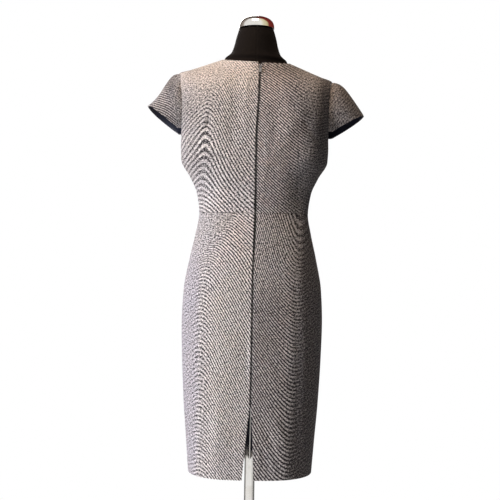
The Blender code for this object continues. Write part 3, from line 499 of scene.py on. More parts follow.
# %% Where the lines run on each back panel
# Each row: height, how far one line is from the next (straight up), where they turn (the crest on the left,
# the trough on the right), and how steep they are between that and the middle.
LINES = {
    "bodice_back_left": (
        (1.117, 0.0092, 0.135, 0.90), (1.150, 0.0100, 0.132, 0.95), (1.200, 0.0122, 0.124, 1.35),
        (1.250, 0.0132, 0.117, 1.80), (1.300, 0.0122, 0.115, 2.00), (1.350, 0.0096, 0.112, 1.65),
        (1.400, 0.0076, 0.104, 1.40), (1.440, 0.0066, 0.080, 1.10), (1.500, 0.0064, 0.060, 0.90)),
    "bodice_back_right": (
        (1.117, 0.0066, -0.128, 0.85), (1.250, 0.0067, -0.138, 0.88), (1.380, 0.0070, -0.142, 0.85),
        (1.440, 0.0075, -0.140, 0.75), (1.500, 0.0080, -0.130, 0.60)),
    "skirt_back_left": (
        (0.500, 0.0082, 0.117, 1.30), (0.600, 0.0086, 0.121, 1.40), (0.690, 0.0100, 0.121, 1.75),
        (0.775, 0.0118, 0.121, 2.05), (0.840, 0.0103, 0.121, 1.70), (0.930, 0.0097, 0.118, 1.50),
        (0.985, 0.0088, 0.112, 1.30), (1.030, 0.0070, 0.095, 0.90), (1.080, 0.0064, 0.064, 0.75),
        (1.117, 0.0064, 0.045, 0.75)),
    "skirt_back_right": (
        (0.500, 0.0092, -0.088, 1.05), (0.560, 0.0104, -0.093, 1.35), (0.620, 0.0108, -0.098, 1.55),
        (0.700, 0.0096, -0.101, 1.40), (0.800, 0.0085, -0.104, 1.25), (0.930, 0.0088, -0.108, 1.45),
        (0.980, 0.0098, -0.110, 1.75), (1.030, 0.0150, -0.112, 3.00), (1.070, 0.0160, -0.112, 3.20),
        (1.117, 0.0140, -0.112, 2.50)),
}
# how steep they are from the middle (0) to the turn (1) and past it
STEEPNESS = {
    "left": ((-0.4, 0.85), (0.0, 0.90), (0.20, 0.98), (0.45, 1.0), (0.70, 0.98), (0.88, 0.60), (1.0, 0.0),
             (1.10, -0.50), (1.5, -0.60)),
    "right": ((-0.4, 1.1), (0.0, 1.12), (0.30, 1.05), (0.55, 0.92), (0.80, 0.66), (1.0, 0.0), (1.15, -0.40),
              (1.6, -0.60)),
}
print("panels with a line table:", len(LINES))

# %% How strongly the lines show
def left_strength(x, z, q, on_bodice):
    """Weaker past the crest; on the bodice there is a stronger patch beside the bust."""
    strength = (0.80 if on_bodice else 1.0) * (1 - 0.55 * smooth_step(0.70, 1.0, q)
                                               - 0.35 * smooth_step(1.0, 1.2, q))
    if on_bodice:
        strength += 0.28 * smooth_step(1.02, 1.12, q) * (1 - smooth_step(1.33, 1.40, z))
    strength *= 1 - 0.45 * smooth_step(1.38, 1.44, z)
    return strength + 0.42 * bell((x, 0.119, 0.015), (z, 1.287, 0.045))


def right_strength(z, q, on_bodice):
    """Almost gone past the trough, and on the bodice well before it, but for the height of the bust."""
    if on_bodice:
        strength = 1 - 0.9 * smooth_step(0.66 - 0.36 * (1 - bell((z, 1.29, 0.06))), 1.02, q)
    else:
        strength = 0.74 * (1 - 0.90 * smooth_step(0.78, 1.18, q))
    return strength * (1 - 0.35 * smooth_step(1.40, 1.46, z))


print("lines on the right of the skirt: %.2f in the middle, %.2f at the side" % (
    right_strength(0.8, 0.2, False), right_strength(0.8, 1.3, False)))

# %% Counting the lines below a point
FRONT_STEP, FRONT_TURN, FRONT_SLOPE = 0.0094, 0.125, 1.35
FINE_Q = np.linspace(-0.4, 1.6, 1200)                   # from the middle (0) to the turn (1) and past it


def running_sum(values, places):
    return np.concatenate([[0], np.cumsum((values[1:] + values[:-1]) / 2 * np.diff(places))])


def lines_at(points, node):
    """(how many lines lie below each point, how strongly they show there)"""
    x, z = points[..., 0], points[..., 2]
    wander = 0.0013 * np.sin(31 * x + 23 * z) + 0.0008 * np.sin(70 * x - 41 * z + 1.3)
    if node not in LINES:
        bearing = np.sin(np.clip(x / FRONT_TURN, -1.4, 1.4) * math.pi / 2)
        climb = FRONT_SLOPE * FRONT_TURN * bearing * 2 / math.pi
        return (z + climb + wander) / FRONT_STEP, 0.9 - 0.65 * smooth_step(0.10, 0.145, np.abs(x))
    side, on_bodice = node.split("_")[-1], "bodice" in node
    heights, steps = np.array(LINES[node]).T[:2]
    fine_z = np.linspace(heights[0], heights[-1], 800)
    count = running_sum(1 / np.interp(fine_z, heights, steps), fine_z)
    climbed = running_sum(smooth_table(STEEPNESS[side], 1, FINE_Q), FINE_Q)
    step, turn, slope = (smooth_table(LINES[node], k, z) for k in (1, 2, 3))
    q = x / turn
    climb = (np.interp(q, FINE_Q, climbed) - np.interp(0.45, FINE_Q, climbed)) * turn * slope
    lines = np.interp(z, fine_z, count) + (wander - climb) / step
    strength = left_strength(x, z, q, on_bodice) if side == "left" else right_strength(z, q, on_bodice)
    return lines, np.clip(strength, 0.08, 1)


column = skin(0.3, np.linspace(WAIST_HEIGHT, BACK_NECK_HEIGHT, 9))
print("lines up the left back: %.0f" % np.ptp(lines_at(column, "bodice_back_left")[0]))

# %% [markdown]
# ## Darts
#
# A dart is a short seam that takes in the cloth, so that a flat piece follows the waist or the bust. It could
# be cut into the mesh, but a dart has no gap, only a fine sunk line. So each is a row here, and every
# point learns how far it is from the nearest dart: the panel sinks there by half a millimetre, and the
# material gets a painted shade there.

# %% The darts and how far each point is from them
# is_back, x0, z0, x1, z1
DARTS = (
    (True, 0.0980, 1.117, 0.1010, 1.262), (True, -0.1020, 1.117, -0.1030, 1.262),
    (True, 0.1000, 1.117, 0.1060, 1.012), (True, -0.1020, 1.117, -0.1080, 1.012),
    (False, 0.0800, 1.117, 0.0860, 1.240), (False, -0.0800, 1.117, -0.0860, 1.240),
    (False, 0.0820, 1.117, 0.0900, 1.020), (False, -0.0820, 1.117, -0.0900, 1.020),
    (False, 0.1740, 1.2180, 0.1050, 1.2640), (False, -0.1740, 1.2180, -0.1050, 1.2640),
)
DART_FAR = 0.05


def darts_at(points, is_back):
    """How far each point is from the nearest dart's line; a dart fades out at its ends."""
    nearest = np.full(points.shape[:-1], DART_FAR)
    for line in [ends for back, *ends in DARTS if back == is_back]:
        along, aside, length = beside_line(points, *line)
        past = np.maximum(np.maximum(-along, along - 1), 0) * length
        away = np.sign(aside) * (np.abs(aside) + past)
        nearest = np.where(np.abs(away) < np.abs(nearest), away, nearest)
    return nearest


print("darts:", len(DARTS))

# %% [markdown]
# ## Shader tools
#
# A material in Blender is a tree of nodes. It can be drawn by hand in the Shader Editor, but a script that
# builds it can be read again and changed. Small helpers keep the trees readable: `maths` is a Math node, with
# `times` and `plus` for the two that are needed most, `between` a Map Range, `blended` a Mix of colours.
# Effects such as the plain weave, the yarn flecks and the small wear are node groups, which a material takes
# in with its own values. A group gives only values, and each material keeps its own shader.


# %% Nodes that work on values and colours
def link_in(tree, socket, value):
    if isinstance(value, bpy.types.NodeSocket):
        tree.links.new(value, socket)
    elif value is not None:
        socket.default_value = value


def maths(tree, operation, a, b=None, c=None, clamp=False):
    made = tree.nodes.new("ShaderNodeMath")
    made.operation, made.use_clamp = operation, clamp
    for socket, value in zip(made.inputs, (a, b, c)):
        link_in(tree, socket, value)
    return made.outputs[0]


def times(tree, a, b):
    return maths(tree, "MULTIPLY", a, b)


def plus(tree, a, b):
    return maths(tree, "ADD", a, b)


def between(tree, value, low, high, to_low=0.0, to_high=1.0, smooth=True):
    made = tree.nodes.new("ShaderNodeMapRange")
    made.interpolation_type = "SMOOTHSTEP" if smooth else "LINEAR"
    for name, given in zip(("Value", "From Min", "From Max", "To Min", "To Max"),
                           (value, low, high, to_low, to_high)):
        link_in(tree, made.inputs[name], given)
    return made.outputs["Result"]


def blended(tree, share, a, b, mode="MIX"):
    made = tree.nodes.new("ShaderNodeMix")
    made.data_type, made.blend_type = "RGBA", mode
    link_in(tree, made.inputs["Factor"], share)
    link_in(tree, made.inputs["A"], a)
    link_in(tree, made.inputs["B"], b)
    return made.outputs["Result"]


print("helpers:", ", ".join(made.__name__ for made in (maths, times, plus, between, blended)))


# %% Nodes that read a place, a pattern or a value of the mesh
def noise(tree, vector, scale, detail=2.0, roughness=0.5):
    made = tree.nodes.new("ShaderNodeTexNoise")
    link_in(tree, made.inputs["Vector"], vector)
    for name, value in (("Scale", scale), ("Detail", detail), ("Roughness", roughness)):
        made.inputs[name].default_value = value
    return made.outputs["Fac"]


def stretched(tree, vector, scale, turn=0.0):
    made = tree.nodes.new("ShaderNodeMapping")
    link_in(tree, made.inputs["Vector"], vector)
    made.inputs["Scale"].default_value = scale
    made.inputs["Rotation"].default_value = (0, 0, turn)
    return made.outputs["Vector"]


def separated(tree, vector):
    made = tree.nodes.new("ShaderNodeSeparateXYZ")
    link_in(tree, made.inputs["Vector"], vector)
    return made.outputs


def attribute(tree, name):
    made = tree.nodes.new("ShaderNodeAttribute")
    made.attribute_name = name
    return made.outputs["Fac"]


def flat_place(tree):
    made = tree.nodes.new("ShaderNodeUVMap")
    made.uv_map = "flat"
    return made.outputs["UV"]


print("helpers:", ", ".join(made.__name__ for made in (noise, stretched, separated, attribute, flat_place)))


# %% Groups, materials and bump
def group(name, inputs, outputs):
    tree = bpy.data.node_groups.new(name, "ShaderNodeTree")
    for title, kind in inputs:
        tree.interface.new_socket(title, in_out="INPUT", socket_type=kind)
    for title, kind in outputs:
        tree.interface.new_socket(title, in_out="OUTPUT", socket_type=kind)
    return tree, tree.nodes.new("NodeGroupInput").outputs, tree.nodes.new("NodeGroupOutput").inputs


def use_group(tree, made, **values):
    node = tree.nodes.new("ShaderNodeGroup")
    node.node_tree = made
    for name, value in values.items():
        link_in(tree, node.inputs[name.replace("_", " ")], value)
    return node.outputs


def new_material(name, colour, **constants):
    made = bpy.data.materials.new(name)
    made.use_nodes = True
    shader = made.node_tree.nodes["Principled BSDF"]
    shader.inputs["Base Color"].default_value = (*colour, 1)
    for title, value in constants.items():
        shader.inputs[title.replace("_", " ")].default_value = value
    made.diffuse_color = (*colour, 1)
    return made, made.node_tree, shader


def bump(tree, shader, height, strength, distance):
    made = tree.nodes.new("ShaderNodeBump")
    made.inputs["Strength"].default_value = strength
    made.inputs["Distance"].default_value = distance
    link_in(tree, made.inputs["Height"], height)
    tree.links.new(made.outputs["Normal"], shader.inputs["Normal"])


print("helpers:", ", ".join(made.__name__ for made in (group, use_group, new_material, bump)))

# %% [markdown]
# ## Plain weave
#
# In plain weave each thread goes over one and under the next. It could be a picture that repeats, but that
# blurs close up. Two sine waves, one along the warp and one along the weft, give the same chequer at any
# distance. The suiting and the lining both use it, each with its own number of threads.


# %% A node group for plain weave: threads over and under
def threads_group():
    tree, given, wanted = group("Plain weave", [("Place", "NodeSocketVector"), ("Threads", "NodeSocketFloat")],
                                [("Over", "NodeSocketFloat"), ("Height", "NodeSocketFloat")])
    u, v, _ = separated(tree, given["Place"])
    turn = times(tree, given["Threads"], math.pi)
    across = maths(tree, "SINE", times(tree, u, turn))
    upward = maths(tree, "SINE", times(tree, v, turn))
    both = times(tree, across, upward)
    tree.links.new(between(tree, both, -0.25, 0.25), wanted["Over"])
    tree.links.new(maths(tree, "ABSOLUTE", both), wanted["Height"])
    return tree


THREADS = threads_group()
print("node group:", THREADS.name)

# %% [markdown]
# ## Yarn flecks
#
# The suiting's yarn has slubs, thicker bits about as long as a grain of rice is wide, each lighter or darker
# than the next. Voronoi cells would give flecks too, but with hard blocky edges. Two noises, one drawn
# out along the warp and one along the weft, cross softly as the yarns do.


# %% A node group for flecks
def flecks_group():
    tree, given, wanted = group("Yarn flecks", [("Place", "NodeSocketVector"), ("Size", "NodeSocketFloat")],
                                [("Light", "NodeSocketFloat")])
    scaled = tree.nodes.new("ShaderNodeVectorMath")
    scaled.operation = "SCALE"
    tree.links.new(given["Place"], scaled.inputs[0])
    tree.links.new(maths(tree, "DIVIDE", 1.0, given["Size"]), scaled.inputs["Scale"])
    levels = [noise(tree, stretched(tree, scaled.outputs[0], shape), 1.0, 1.5)
              for shape in ((0.5, 1, 1), (1, 0.55, 1))]
    both = maths(tree, "MULTIPLY_ADD", levels[0], 0.55, times(tree, levels[1], 0.45))
    tree.links.new(between(tree, both, 0.34, 0.66), wanted["Light"])
    return tree


FLECKS = flecks_group()
print("node group:", FLECKS.name)

# %% [markdown]
# ## The suiting
#
# The cloth is a dull wool of cream and near-black yarns. One mixed brown would look flat, since the eye sees
# both yarns. So the colour is built up as the cloth is: one number says how much cream shows, with painted
# light and shade laid into it, and threads, lines and flecks each add to it or take from it. The painted
# shade in seams and darts comes last.
# Wool scatters light, so it is rough, with a little sheen.


# %% How much cream yarn shows
DARK = (0.030, 0.027, 0.030, 1)
SUITING_THREADS, FLECK_SIZE = 1050.0, 0.0024            # threads in a metre, and metres


def drawn_line(tree, place):
    """The woven lines, from dark (0) to light (1), a little unsteady."""
    wobble = times(tree, maths(tree, "SUBTRACT", noise(tree, place, 150, 2.0), 0.5), 2.2)
    turn = plus(tree, times(tree, attribute(tree, "lines"), 2 * math.pi), wobble)
    return between(tree, maths(tree, "SINE", turn), -0.6, 0.6)


def cream_share(tree, place, over, light, line):
    """The share of cream yarn: the broad tone with painted light and shade, and the lines, threads and flecks
    round it.
    """
    broken = between(tree, noise(tree, place, 260, 1.0), 0.32, 0.60, 0.40, 1.12)
    strength = times(tree, attribute(tree, "line_strength"), broken)
    share = times(tree, maths(tree, "SUBTRACT", line, 0.5), times(tree, strength, 1.25))
    share = plus(tree, share, maths(tree, "MULTIPLY_ADD", over, 0.12, attribute(tree, "tone_and_shade")))
    # where little cream shows, as in the painted shade, the flecks are weaker too
    reach = between(tree, attribute(tree, "tone_and_shade"), 0.02, 0.22, 0.60, 1.10, smooth=False)
    reach = times(tree, reach, attribute(tree, "grain"))
    fleck = times(tree, maths(tree, "SUBTRACT", light, 0.5), reach)
    return maths(tree, "ADD", share, fleck, clamp=True)


def cream_colour(tree, place):
    """The light yarn's colour, with painted warm or cool light from the tint."""
    cream = blended(tree, noise(tree, place, 14, 2.0), (0.82, 0.74, 0.67, 1), (0.74, 0.71, 0.73, 1))
    # the warm and the cool colour are painted light: a warm lamp from above, a cool window at the left
    for full, colour in ((1, (0.90, 0.70, 0.54, 1)), (-1, (0.70, 0.66, 0.82, 1))):
        reach = between(tree, attribute(tree, "light_tint"), 0, full, 0, 1, smooth=False)
        cream = blended(tree, reach, cream, colour)
    return cream


print("suiting: %.0f threads in 10 mm" % (SUITING_THREADS / 100))


# %% Flecked suiting
def painted_seam_shade(tree, dart):
    """Painted shade in the seams and along the darts, and painted shadow where the seam gapes at the zip."""
    seam = between(tree, attribute(tree, "edge"), 0.0, 0.0018, 0.72, 1.0)
    near_zip = between(tree, attribute(tree, "zip"), 0.0008, 0.0038, 0.95, 0.0)
    gape_shadow = maths(tree, "SUBTRACT", 1.0, times(tree, attribute(tree, "gape"), near_zip))
    return times(tree, times(tree, seam, dart), gape_shadow)


def suiting_material():
    made, tree, shader = new_material("Flecked suiting", (0.33, 0.30, 0.29), Roughness=0.9,
                                      Sheen_Weight=0.05, Sheen_Roughness=0.45, Specular_IOR_Level=0.12)
    place = flat_place(tree)
    weave = use_group(tree, THREADS, Place=place, Threads=SUITING_THREADS)
    flecks = use_group(tree, FLECKS, Place=place, Size=FLECK_SIZE)
    line = drawn_line(tree, place)
    # painted shade along the darts; the same value sinks them in the bump
    dart = between(tree, maths(tree, "ABSOLUTE", attribute(tree, "dart")), 0.0, 0.0016, 0.75, 1.0)
    share = cream_share(tree, place, weave["Over"], flecks["Light"], line)
    colour = blended(tree, share, DARK, cream_colour(tree, place))
    tree.links.new(blended(tree, 1.0, colour, painted_seam_shade(tree, dart), "MULTIPLY"), shader.inputs["Base Color"])
    height = times(tree, weave["Height"], 0.35)
    for part, weight in ((line, 0.30), (flecks["Light"], 0.5), (dart, 2.0)):
        height = plus(tree, height, times(tree, part, weight))
    bump(tree, shader, height, 0.5, 0.0005)
    return made


SUITING = suiting_material()
print("material:", SUITING.name, "with", len(SUITING.node_tree.nodes), "nodes")

# %% [markdown]
# ## The lining's cloth
#
# A lining is a smooth, thin, dark cloth, so that the dress slides over what is worn under it. Satin could be a
# glossy shader with a strong grain, but this one shows only as a dark edge in the sleeves and the vent. So
# it has the same plain weave, much finer, and a soft streak that makes it a little glossier in places.


# %% Lining cloth
LINING_THREADS = 2200.0                                 # in a metre


def lining_material():
    made, tree, shader = new_material("Navy lining", (0.008, 0.009, 0.020), Roughness=0.42,
                                      Sheen_Weight=0.03, Sheen_Roughness=0.3, Specular_IOR_Level=0.25)
    place = flat_place(tree)
    weave = use_group(tree, THREADS, Place=place, Threads=LINING_THREADS)
    soft = noise(tree, stretched(tree, place, (1, 0.15, 1)), 60, 3.0)
    tree.links.new(blended(tree, soft, (0.004, 0.005, 0.010, 1), (0.013, 0.015, 0.032, 1)),
                   shader.inputs["Base Color"])
    tree.links.new(between(tree, soft, 0.3, 0.7, 0.42, 0.6), shader.inputs["Roughness"])
    bump(tree, shader, plus(tree, weave["Height"], times(tree, soft, 3.0)), 0.35, 0.0002)
    return made


LINING_CLOTH = lining_material()
print("material:", LINING_CLOTH.name)

# %% [markdown]
# ## A piece of cloth as a thin wall
#
# Real cloth has two faces and a thickness. A single sheet with a Solidify modifier would do, but its
# edges would be square to the sheet everywhere. Here a wall is made straight from two grids, the outer face and
# the inner one, and a rim closes it. Its UV map is the flat cut in metres, so one thread is as wide on the
# sleeve as on the skirt, and further values, such as the lines and the darts, are stored at its points.


# %% Meshes, values at their points, and objects
def new_mesh(name, vertices, faces, material, sharp_degrees=180):
    """A smooth mesh of one material; edges that bend by more than the given angle stay sharp."""
    mesh = bpy.data.meshes.new(name)
    mesh.from_pydata(vertices, [], faces)
    mesh.materials.append(material)
    mesh.shade_smooth()
    if sharp_degrees < 180:
        mesh.set_sharp_from_angle(angle=math.radians(sharp_degrees))
    return mesh


def store_flat(mesh, flat):
    """Each point's place in the flat cut, in metres, as the UV map that the materials read."""
    corner = np.empty(len(mesh.loops), np.int32)
    mesh.loops.foreach_get("vertex_index", corner)
    mesh.uv_layers.new(name="flat").data.foreach_set("uv", flat[corner].astype(np.float32).ravel())


def store_value(mesh, title, value):
    mesh.attributes.new(title, "FLOAT", "POINT").data.foreach_set("value", value.astype(np.float32))


def new_piece(name, data):
    piece = bpy.data.objects.new(name, data)
    bpy.context.scene.collection.objects.link(piece)
    return piece


def fit(piece, slot_name, node=None, body=BODY):
    """The piece rides on its body, and may stand for a solid, which is then hidden; the slot name is not used.
    """
    if node:
        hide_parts(node)
    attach(piece, body)


print("helpers:", ", ".join(made.__name__ for made in (new_mesh, store_flat, store_value, new_piece, fit)))


# %% A wall with its place in the flat cut
def wall_faces(rows, columns):
    """(the faces of the outer grid, the faces of the four rims that join it to the inner one)"""
    index = np.arange(rows * columns).reshape(rows, columns)
    quads = np.stack([index[:-1, :-1], index[:-1, 1:], index[1:, 1:], index[1:, :-1]], axis=-1).reshape(-1, 4)
    rims = [np.stack([line[1:], line[:-1], line[:-1] + index.size, line[1:] + index.size], axis=-1)
            for line in (index[0], index[-1][::-1], index[:, -1], index[:, 0][::-1])]
    return quads, np.concatenate(rims)


def flat_cut(points):
    """Each point's place in the flat cut: the way along the weft, and along the warp."""
    return np.stack([arc(points, 1), arc(points, 0)], axis=-1)


def wall(name, outer, inner, normals, flat, values, material):
    """A closed wall between two grids, with UVs that are the flat cut in metres, and values at its points."""
    vertices = np.concatenate([outer.reshape(-1, 3), inner.reshape(-1, 3)])
    quads, rims = wall_faces(*outer.shape[:2])
    # the outer faces have to look along the normals
    corners = quads[len(quads) // 2]
    a, b, c = vertices[corners[:3]]
    if np.dot(np.cross(b - a, c - a), normals.reshape(-1, 3)[corners[0]]) < 0:
        quads, rims = quads[:, ::-1], rims[:, ::-1]
    faces = np.concatenate([quads, quads[:, ::-1] + len(vertices) // 2, rims])
    mesh = new_mesh(name, vertices.tolist(), faces.tolist(), material, 60)
    store_flat(mesh, np.concatenate([flat.reshape(-1, 2)] * 2))
    for title, value in values.items():
        store_value(mesh, title, np.concatenate([np.broadcast_to(value, outer.shape[:2]).ravel()] * 2))
    return new_piece(name, mesh)


print("faces of a wall of 3 x 3 points:", 2 * len(wall_faces(3, 3)[0]) + len(wall_faces(3, 3)[1]))

# %% [markdown]
# ## The cloth's tone, with painted light and shade
#
# A two-tone cloth looks lighter or darker with the side from which it is seen, as a mown lawn does: on the
# wearer's right less cream shows. Lights alone could make one side dark, but they leave the yarns' contrast
# as it is. So broad, soft areas say how much cream shows, and how warm or cool it looks. Most of them are
# painted light and shade: light shoulders, shade in hollows and on the flanks, a highlight on the round of
# the right hip, shadow on the side that turns away from the key light, and warm and cool coloured light.


# %% Broad tone over the dress, with painted light and shade
def left_tone_and_shade(away, z):
    """Painted light and shade: shade in a soft hollow beside the zip, light on the shoulder, and shade on the
    flank below the arm and by the armhole.
    """
    below_shoulder = 1 - smooth_step(1.38, 1.44, z)
    tone_and_shade = 0.31 - 0.03 * smooth_step(1.10, 1.25, z)
    tone_and_shade = tone_and_shade - 0.045 * below_shoulder * bell((away, 0.05, 0.045))
    tone_and_shade = tone_and_shade + 0.21 * smooth_step(1.35, 1.46, z) * (0.25 + 0.75 * smooth_step(0.0, 0.03, away))
    tone_and_shade = tone_and_shade - 0.08 * smooth_step(1.28, 1.34, z) * smooth_step(0.130, 0.165, away)
    return tone_and_shade - 0.07 * bell((away, 0.142, 0.030), (z, 1.240, 0.040))


def edge_tone_and_shade(z):
    """Painted shadow: the darkest cloth, past the round of the right hip, which turns away from the key light.
    """
    return 0.010 + 0.030 * smooth_step(0.70, 0.84, z)


def right_tone_and_shade(away, z):
    """Dark beside the zip, a painted highlight on the round of the hip, painted shadow past it, painted shade
    high on the back and painted light on the shoulders.
    """
    q = -away / np.interp(z, (0.50, 0.70, 0.93, 1.12, 1.25), (0.088, 0.101, 0.108, 0.110, 0.138))
    near = 0.066 + 0.09 * smooth_step(0.88, 0.98, z) * (1 - smooth_step(1.09, 1.14, z))
    hip = near + (0.03 + 0.11 * smooth_step(0.70, 0.84, z)) * smooth_step(0.45, 0.90, q)
    tone_and_shade = hip + (edge_tone_and_shade(z) - hip) * smooth_step(0.93, 1.12, q)
    return tone_and_shade - 0.13 * bell((away, -0.118, 0.040), (z, 1.33, 0.060)) + 0.06 * smooth_step(1.39, 1.45, z)


def tone_and_shade_at(points):
    """The share of cream yarn that shows, with painted light and shade; less on the wearer's right, where the
    nap lies the other way.
    """
    x, y, z = points[..., 0], points[..., 1], points[..., 2]
    away = np.where(y > 0, x - centre_back(z), x)
    # the front's right side darkens towards its side seam: painted shadow, as on the back
    front = 0.22 + (edge_tone_and_shade(z) + 0.03 - 0.22) * smooth_step(0.115, 0.165, -x)
    return np.where(away < 0, np.where(y > 0, right_tone_and_shade(away, z), front), left_tone_and_shade(away, z))


def light_tint_at(points):
    """Painted coloured light: above 0 the light yarn looks warmer, as under the lamp above the shoulders; below
    0 cooler, as under the window on the skirt's left edge.
    """
    x, y, z = points[..., 0], points[..., 1], points[..., 2]
    warm_light = 0.30 * smooth_step(1.35, 1.45, z) + 0.12 * smooth_step(1.15, 1.35, z)
    cool_light = smooth_step(0.118, 0.132, x) * (1 - smooth_step(0.95, 1.10, z)) * (y > 0)
    return warm_light - 0.28 * cool_light


shades = tone_and_shade_at(skin(np.array([0.6, -0.6]), np.full(2, 0.9)))
print("cream that shows on the hip: left %.2f, right %.2f" % tuple(shades))

# %% [markdown]
# ## Sewing the panels
#
# Two pieces meet in a seam, and both roll under into it. That could be a dark line in the material alone, but
# light from the side shows the groove. So the outer face sinks by less than a millimetre near each sewn
# edge, along the zip and along the darts, and free edges such as the hem and the neckline stay up.

# %% How the edges sink
ROLL_DEPTH, ROLL_WIDTH = 0.00040, 0.0012
ZIP_DEPTH, ZIP_WIDTH = 0.0008, 0.0018
DART_DEPTH, DART_WIDTH = 0.0005, 0.0016


def edge_roll(points, free_edges):
    """(how far each point sinks at the sewn edges, how far it is from the nearest sewn edge)"""
    across, upward = arc(points, 1), arc(points, 0)
    left, right = across, across[:, -1:] - across
    low, high = upward, upward[-1:] - upward
    sewn = {"first": left, "last": right, "bottom": low, "top": high}
    edge = np.min([far for name, far in sewn.items() if name not in free_edges], axis=0)
    return ROLL_DEPTH * np.exp(-(edge / ROLL_WIDTH) ** 2), edge


def gape_at(height):
    """How far the seam is pulled open along the zip: most in the small of the back."""
    pulled = smooth_step(1.000, 1.035, height) * (1 - smooth_step(1.140, 1.175, height))
    return 0.85 + 0.15 * pulled * (1 - 0.5 * np.exp(-((height - WAIST_HEIGHT) / 0.008) ** 2))


print("a sewn edge sinks by %.1f mm, the zip's by %.1f mm" % (ROLL_DEPTH * 1e3, ZIP_DEPTH * 1e3))


# %% One panel
PARTED = 0.0026                 # how far the two backs part at the top of the zip, so that its tapes show


def cloth_panel(node, grid, is_back, free_edges=()):
    grid = laid_out(grid)
    points, normals = cloth_face(grid[..., 0], grid[..., 1])
    x, z = points[..., 0], points[..., 2]
    sink, edge = edge_roll(points, free_edges)
    dart = darts_at(points, is_back)
    zip_far = arc(points, 1) if is_back else np.full(x.shape, DART_FAR)
    gape = gape_at(z) * (z > VENT_TOP)
    if node.startswith("bodice"):
        # the left sleeve is eased in so softly that its seam hardly shows, so its groove and its painted shade
        # are weaker
        armhole = (z > UNDERARM_HEIGHT) & (x > 0.12)
        sink, edge = np.where(armhole, sink * 0.4, sink), np.where(armhole, edge + ROLL_WIDTH, edge)
        if is_back:
            apart = PARTED * smooth_step(1.448, 1.4715, z) * bell((zip_far, 0, 0.010))
            points = points + np.stack([np.sign(grid[..., 0].mean()) * apart, 0 * apart, 0 * apart], -1)
    sink = sink + ZIP_DEPTH * gape * bell((zip_far, 0, ZIP_WIDTH)) + DART_DEPTH * bell((dart, 0, DART_WIDTH))
    lines, strength = lines_at(points, node)
    values = {"lines": lines, "line_strength": strength, "dart": dart, "edge": edge, "tone_and_shade": tone_and_shade_at(points),
              "light_tint": light_tint_at(points), "zip": zip_far, "gape": gape,
              "grain": 1.0 - 0.25 * smooth_step(0.10, 0.14, np.abs(points[..., 0]))}
    outer, inner, across = points - normals * sink[..., None], points - normals * CLOTH, arc(points, 1)
    flat = np.stack([across - across[:, points.shape[1] // 2, None], arc(points, 0)], -1)
    piece = wall(node + "_cloth", outer, inner, normals, flat, values, SUITING)
    fit(piece, "suiting", node)
    return f"{node} ({points.shape[0]} x {points.shape[1]} points)"


print("at the top of the zip the backs part by %.1f mm" % (2 * PARTED * 1e3))


# %% The six panels
FINER = 4                                               # rows here for each row of the solids
SIDES = (("left", 1), ("right", -1))


def half_back(half, side):
    """A half of the back; the right one is drawn like the left one and then mirrored."""
    return half(1, True, FINER) if side > 0 else mirrored(half(-1, True, FINER))


for name, side in SIDES:
    bodice, skirt = half_back(half_bodice, side), half_back(half_skirt, side)
    print(cloth_panel(f"bodice_back_{name}", bodice, True, ("top",)))
    print(cloth_panel(f"skirt_back_{name}", skirt, True, ("bottom",)))
BODICE_FRONT = whole_front(half_bodice(1, False, FINER))
SKIRT_FRONT = whole_front(half_skirt(1, False, FINER))
print(cloth_panel("bodice_front", BODICE_FRONT, False, ("top",)))
print(cloth_panel("skirt_front", SKIRT_FRONT, False, ("bottom",)))

# %% [markdown]
# ## Cap sleeves
#
# A cap sleeve only covers the shoulder. It starts at the armhole's own edge and falls to a short arched hem.
# The left one has a pinched hollow below its head, and the right one is full. It could be a cut tube, fitted
# by eye, but then it would leave gaps along the armhole. So its first row is the armhole's edge, moved out
# by the seam, its last row is an arch, and the rows between bulge a little.

# %% The armhole's edge
# row of the armhole, up from the underarm, where each sleeve starts behind and before the arm
SLEEVE_FIRST_ROWS = {"left": (1.5, 1.0), "right": (1.5, 0.75)}


def plain_faces(grid):
    """(outer face, inner face) of a panel with its folds, before its creases"""
    points, normals = skin(grid[..., 0], grid[..., 1]), skin_normal(grid[..., 0], grid[..., 1])
    points = points + normals * folds_at(points)[..., None]
    return points, points - normals * CLOTH


PLAIN = {name: plain_faces(half_back(half_bodice, side)) for name, side in SIDES}
PLAIN["front"] = plain_faces(BODICE_FRONT)


def armhole_edge(name):
    """The armhole's edge, from below the back notch over the shoulder to the front."""
    first_back, first_front = (int((ROWS_BELOW_ARMHOLE - 2 + row) * FINER) for row in SLEEVE_FIRST_ROWS[name])
    back = [face[first_back:, -1] for face in PLAIN[name]]
    front = [face[first_front:, 0 if name == "left" else -1] for face in PLAIN["front"]]
    return [np.concatenate([rear[:-1], (rear[-1:] + fore[-1:]) / 2, fore[-2::-1]])
            for rear, fore in zip(back, front)]


print("points along the left armhole:", len(armhole_edge("left")[0]))


# %% The sleeve's surface, from the armhole to the hem
SLEEVE_END_LENGTH, SLEEVE_SPARE, SLEEVE_HEM_DEPTH = 0.010, 0.0003, 0.069


